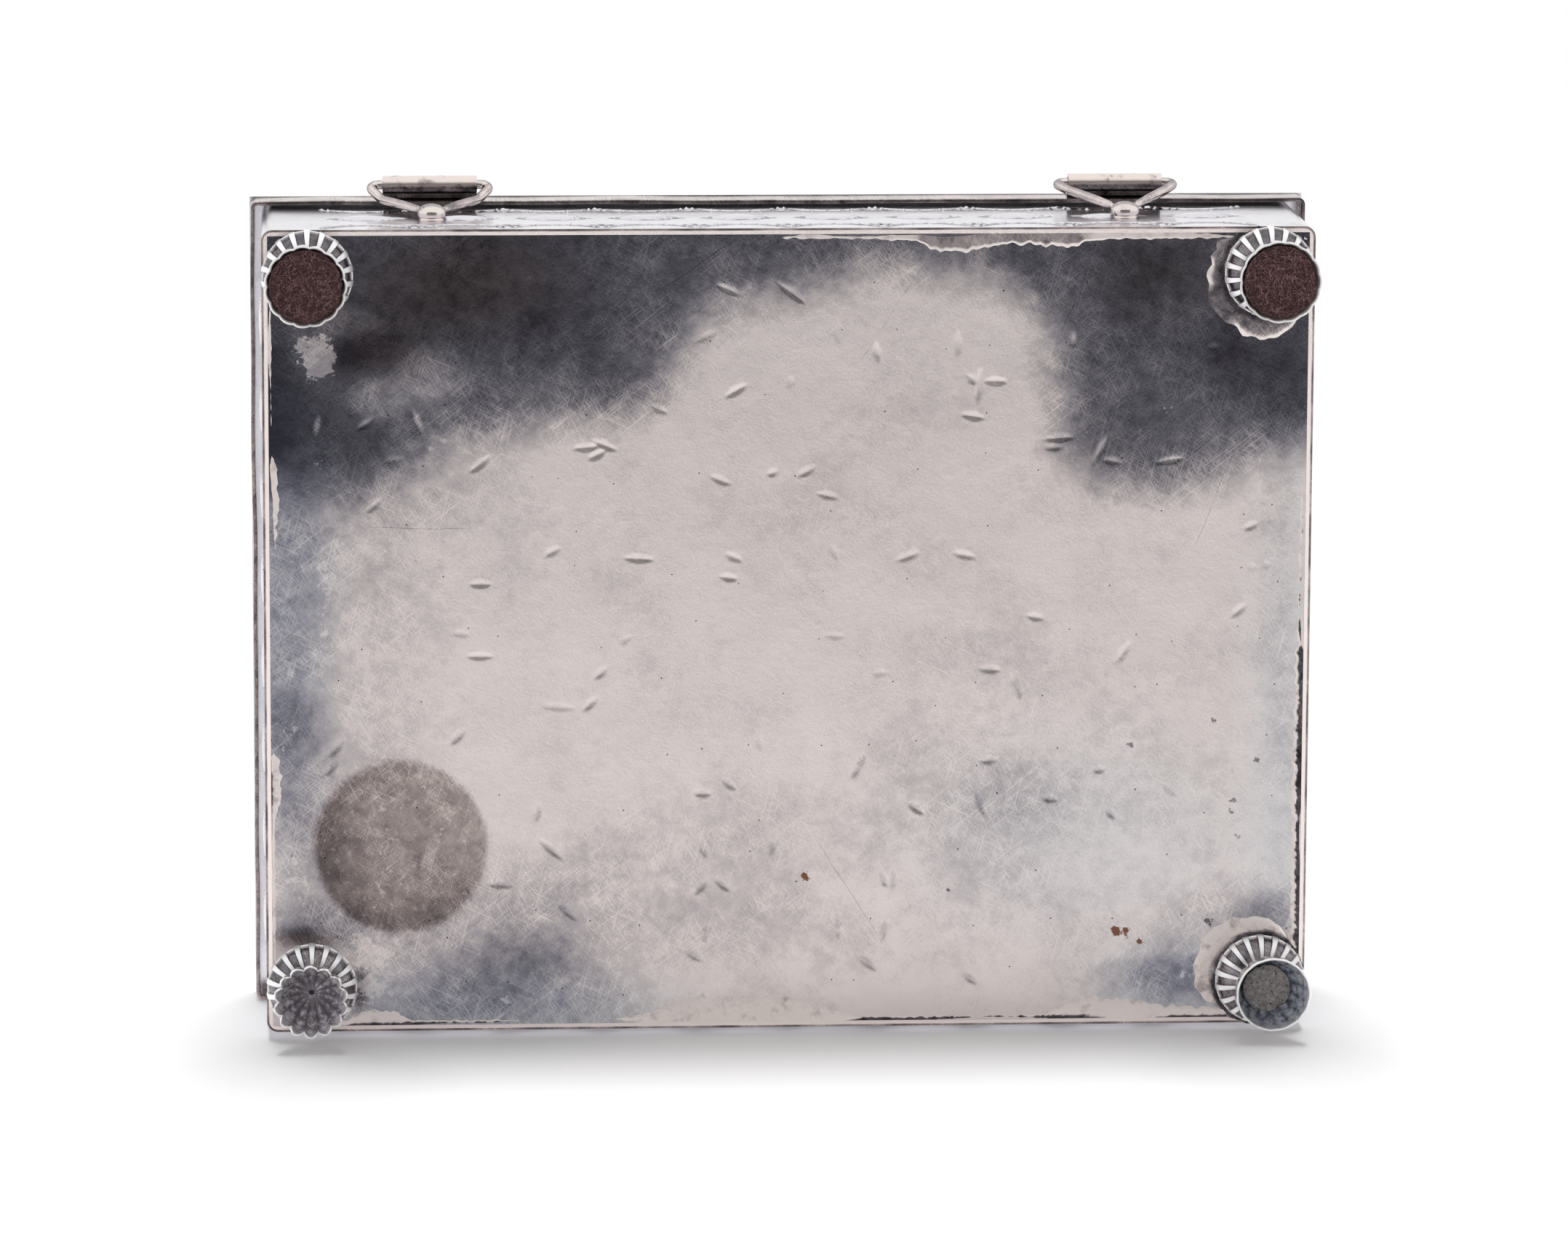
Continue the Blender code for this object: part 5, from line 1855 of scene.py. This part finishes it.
knuckle_silver = make_knuckle_silver()
for side in ("left", "right"):
    low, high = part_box("hinge_knuckle_" + side)
    roll = (high.y - hinge_axis.y) - KNUCKLE_THICKNESS / 2
    start = math.radians(90 - ROLL_DEGREES)
    strip = {"size": high.x - low.x, "location": centre(low, high, hinge_axis.z)}
    strip["location"].y = hinge_axis.y
    knuckle = add_primitive("hinge_roll_" + side, bpy.ops.mesh.primitive_plane_add, **strip)
    settle()
    bpy.ops.object.mode_set(mode="EDIT")
    pick(knuckle, "verts", lambda vertex: vertex.co.y > hinge_axis.y)
    bpy.ops.mesh.delete(type="VERT")
    bpy.ops.mesh.select_all(action="SELECT")
    edge_now = bmesh.from_edit_mesh(knuckle.data).verts
    edge_now.ensure_lookup_table()
    first_y = hinge_axis.y + roll * math.cos(start)
    first_z = hinge_axis.z + roll * math.sin(start)
    move = (0, first_y - edge_now[0].co.y, first_z - edge_now[0].co.z)
    bpy.ops.transform.translate(value=move)
    bpy.ops.mesh.subdivide(number_cuts=KNUCKLE_CUTS)
    turn = math.radians(ROLL_DEGREES)
    bpy.ops.mesh.spin(steps=ROLL_STEPS, angle=turn, center=hinge_axis, axis=(-1, 0, 0))
    leaf_y = rim_high.y + KNUCKLE_THICKNESS / 2 - LEAF_SINK
    last_z = hinge_axis.z + roll
    pick(knuckle, "verts", lambda vertex: vertex.co.z > last_z - LEAF_BACK
         and abs(vertex.co.y - hinge_axis.y) < TOP_EDGE_HALF_WIDTH)
    pull(0, leaf_y + LEAF_BEND_RADIUS - hinge_axis.y, 0)
    pull(0, -LEAF_REACH_SHARES[0] * LEAF_BEND_RADIUS - LEAF_BACK, LEAF_LIFT)
    turns = [math.pi / 2 * step / LEAF_BEND_STEPS for step in range(LEAF_BEND_STEPS + 1)]
    for before, turn in zip(turns, turns[1:]):
        back = LEAF_BEND_RADIUS * LEAF_REACH_SHARES[1] * (math.sin(turn) - math.sin(before))
        pull(0, -back, LEAF_BEND_RADIUS * (math.cos(before) - math.cos(turn)))
    top_now = max(vertex.co.z for vertex in bmesh.from_edit_mesh(knuckle.data).verts)
    pull(0, 0, high.z - top_now)
    close_mesh()
    apply_modifier(knuckle, "SOLIDIFY", thickness=KNUCKLE_THICKNESS, offset=0)
    # Painted shade: the side of the roll towards the wall and its leaf are darkened in the colour
    under = hinge_axis.y + KNUCKLE_SHADE_FROM - read_points(knuckle)[:, 1]
    write_mask(knuckle, "hollow", smooth_step(under / KNUCKLE_SHADE_FADE))
    finish_piece(knuckle, "lid", knuckle_silver, ["hinge_knuckle_" + side])

# Studio
# A white table and a white room, as the metal sees them, with a dark card beside the camera
# that gives the dents their dark sides. The box stands on its front wall.
FLOOR_Y = cad_box[0].y
FLOOR_HALF_WIDTH = 1.3
FLOOR_NEAR = -1.3
FLOOR_FAR = 1.2
FLOOR_GREY = 0.90
FLOOR_GLOW = 0.02
FLOOR_MIRRORED = 0.35
ROOM_LIGHT = 0.35


def empty_material(name):
    """A material with no nodes yet, and its node tree."""
    material = bpy.data.materials.new(name)
    material.use_nodes = True
    material.node_tree.nodes.clear()
    return material, material.node_tree


def camera_sees(tree):
    """Whether a ray comes from the camera, a mirror or glass."""
    path = add_node(tree, "ShaderNodeLightPath").outputs
    seen = calc(tree, "MAXIMUM", path["Is Camera Ray"], path["Is Glossy Ray"])
    return calc(tree, "MAXIMUM", seen, path["Is Transmission Ray"])


world = bpy.data.worlds.new("white_room")
bpy.context.scene.world = world
world.use_nodes = True
room = world.node_tree
glow = remap(room, camera_sees(room), 0.0, 1.0, ROOM_LIGHT, 1.0)
background = room.nodes["Background"]
background.inputs["Color"].default_value = (1, 1, 1, 1)
room.links.new(glow, background.inputs["Strength"])

floor = add_primitive(
    "table",
    bpy.ops.mesh.primitive_grid_add,
    size=1,
    location=(0, FLOOR_Y, (FLOOR_NEAR + FLOOR_FAR) / 2),
    rotation=(math.radians(-90), 0, 0),
)
floor.scale = (2 * FLOOR_HALF_WIDTH, FLOOR_FAR - FLOOR_NEAR, 1)
table_white, tree = empty_material("table_white")
matt = add_node(tree, "ShaderNodeBsdfDiffuse", {"Color": (FLOOR_GREY,) * 3 + (1,)}).outputs[0]
geometry = add_node(tree, "ShaderNodeNewGeometry").outputs
level = add_node(tree, "ShaderNodeSeparateXYZ", {0: geometry["Position"]}).outputs["Z"]
mirrored = add_node(tree, "ShaderNodeLightPath").outputs["Is Glossy Ray"]
mirrored = calc(tree, "MULTIPLY", mirrored, remap(tree, level, 0.0, wall_low.z))
mirrored = calc(tree, "MULTIPLY", mirrored, remap(tree, level, wall_high.z, lid_high.z, 1.0, 0.0))
table_glow = calc(tree, "MULTIPLY_ADD", mirrored, FLOOR_MIRRORED, FLOOR_GLOW)
lit = add_node(tree, "ShaderNodeEmission", {"Strength": table_glow}).outputs[0]
clear = add_node(tree, "ShaderNodeBsdfTransparent").outputs[0]
shown_light = add_node(tree, "ShaderNodeMixShader", {0: camera_sees(tree), 2: lit}).outputs[0]
white = add_node(tree, "ShaderNodeAddShader", {0: matt, 1: shown_light}).outputs[0]
shown = add_node(
    tree, "ShaderNodeMixShader", {0: geometry["Backfacing"], 1: white, 2: clear}
).outputs[0]
add_node(tree, "ShaderNodeOutputMaterial", {"Surface": shown})
floor.data.materials.append(table_white)

CARD_GREY = 0.12
CARD_MIDDLE = (0, 0.42, -1.4)
CARD_SIZE = (2.4, 0.96)
card_black, tree = empty_material("card_black")
dim = add_node(tree, "ShaderNodeEmission", {"Color": (CARD_GREY,) * 3 + (1,)}).outputs[0]
add_node(tree, "ShaderNodeOutputMaterial", {"Surface": dim})
plane = bpy.ops.mesh.primitive_plane_add
card = add_primitive("card_by_camera", plane, size=1, location=CARD_MIDDLE)
card.scale = (*CARD_SIZE, 1)
card.data.materials.append(card_black)
for rays in ("camera", "diffuse", "shadow", "transmission"):
    setattr(card, "visible_" + rays, False)

# Strength, width in degrees and direction of the light from each window
WINDOWS = {
    "high_window": (2.35, 19, (0.0, -1.0, -0.16)),
    "front_window": (1.6, 30, (-0.30, -0.12, 1.0)),
}
for name, (strength, angle, direction) in WINDOWS.items():
    sun_data = bpy.data.lights.new(name, "SUN")
    sun_data.energy = strength
    sun_data.angle = math.radians(angle)
    sun = bpy.data.objects.new(name, sun_data)
    sun.rotation_euler = Vector(direction).to_track_quat("-Z", "Y").to_euler()
    sun.visible_glossy = False
    bpy.context.scene.collection.objects.link(sun)

bpy.context.scene.view_settings.view_transform = "Standard"
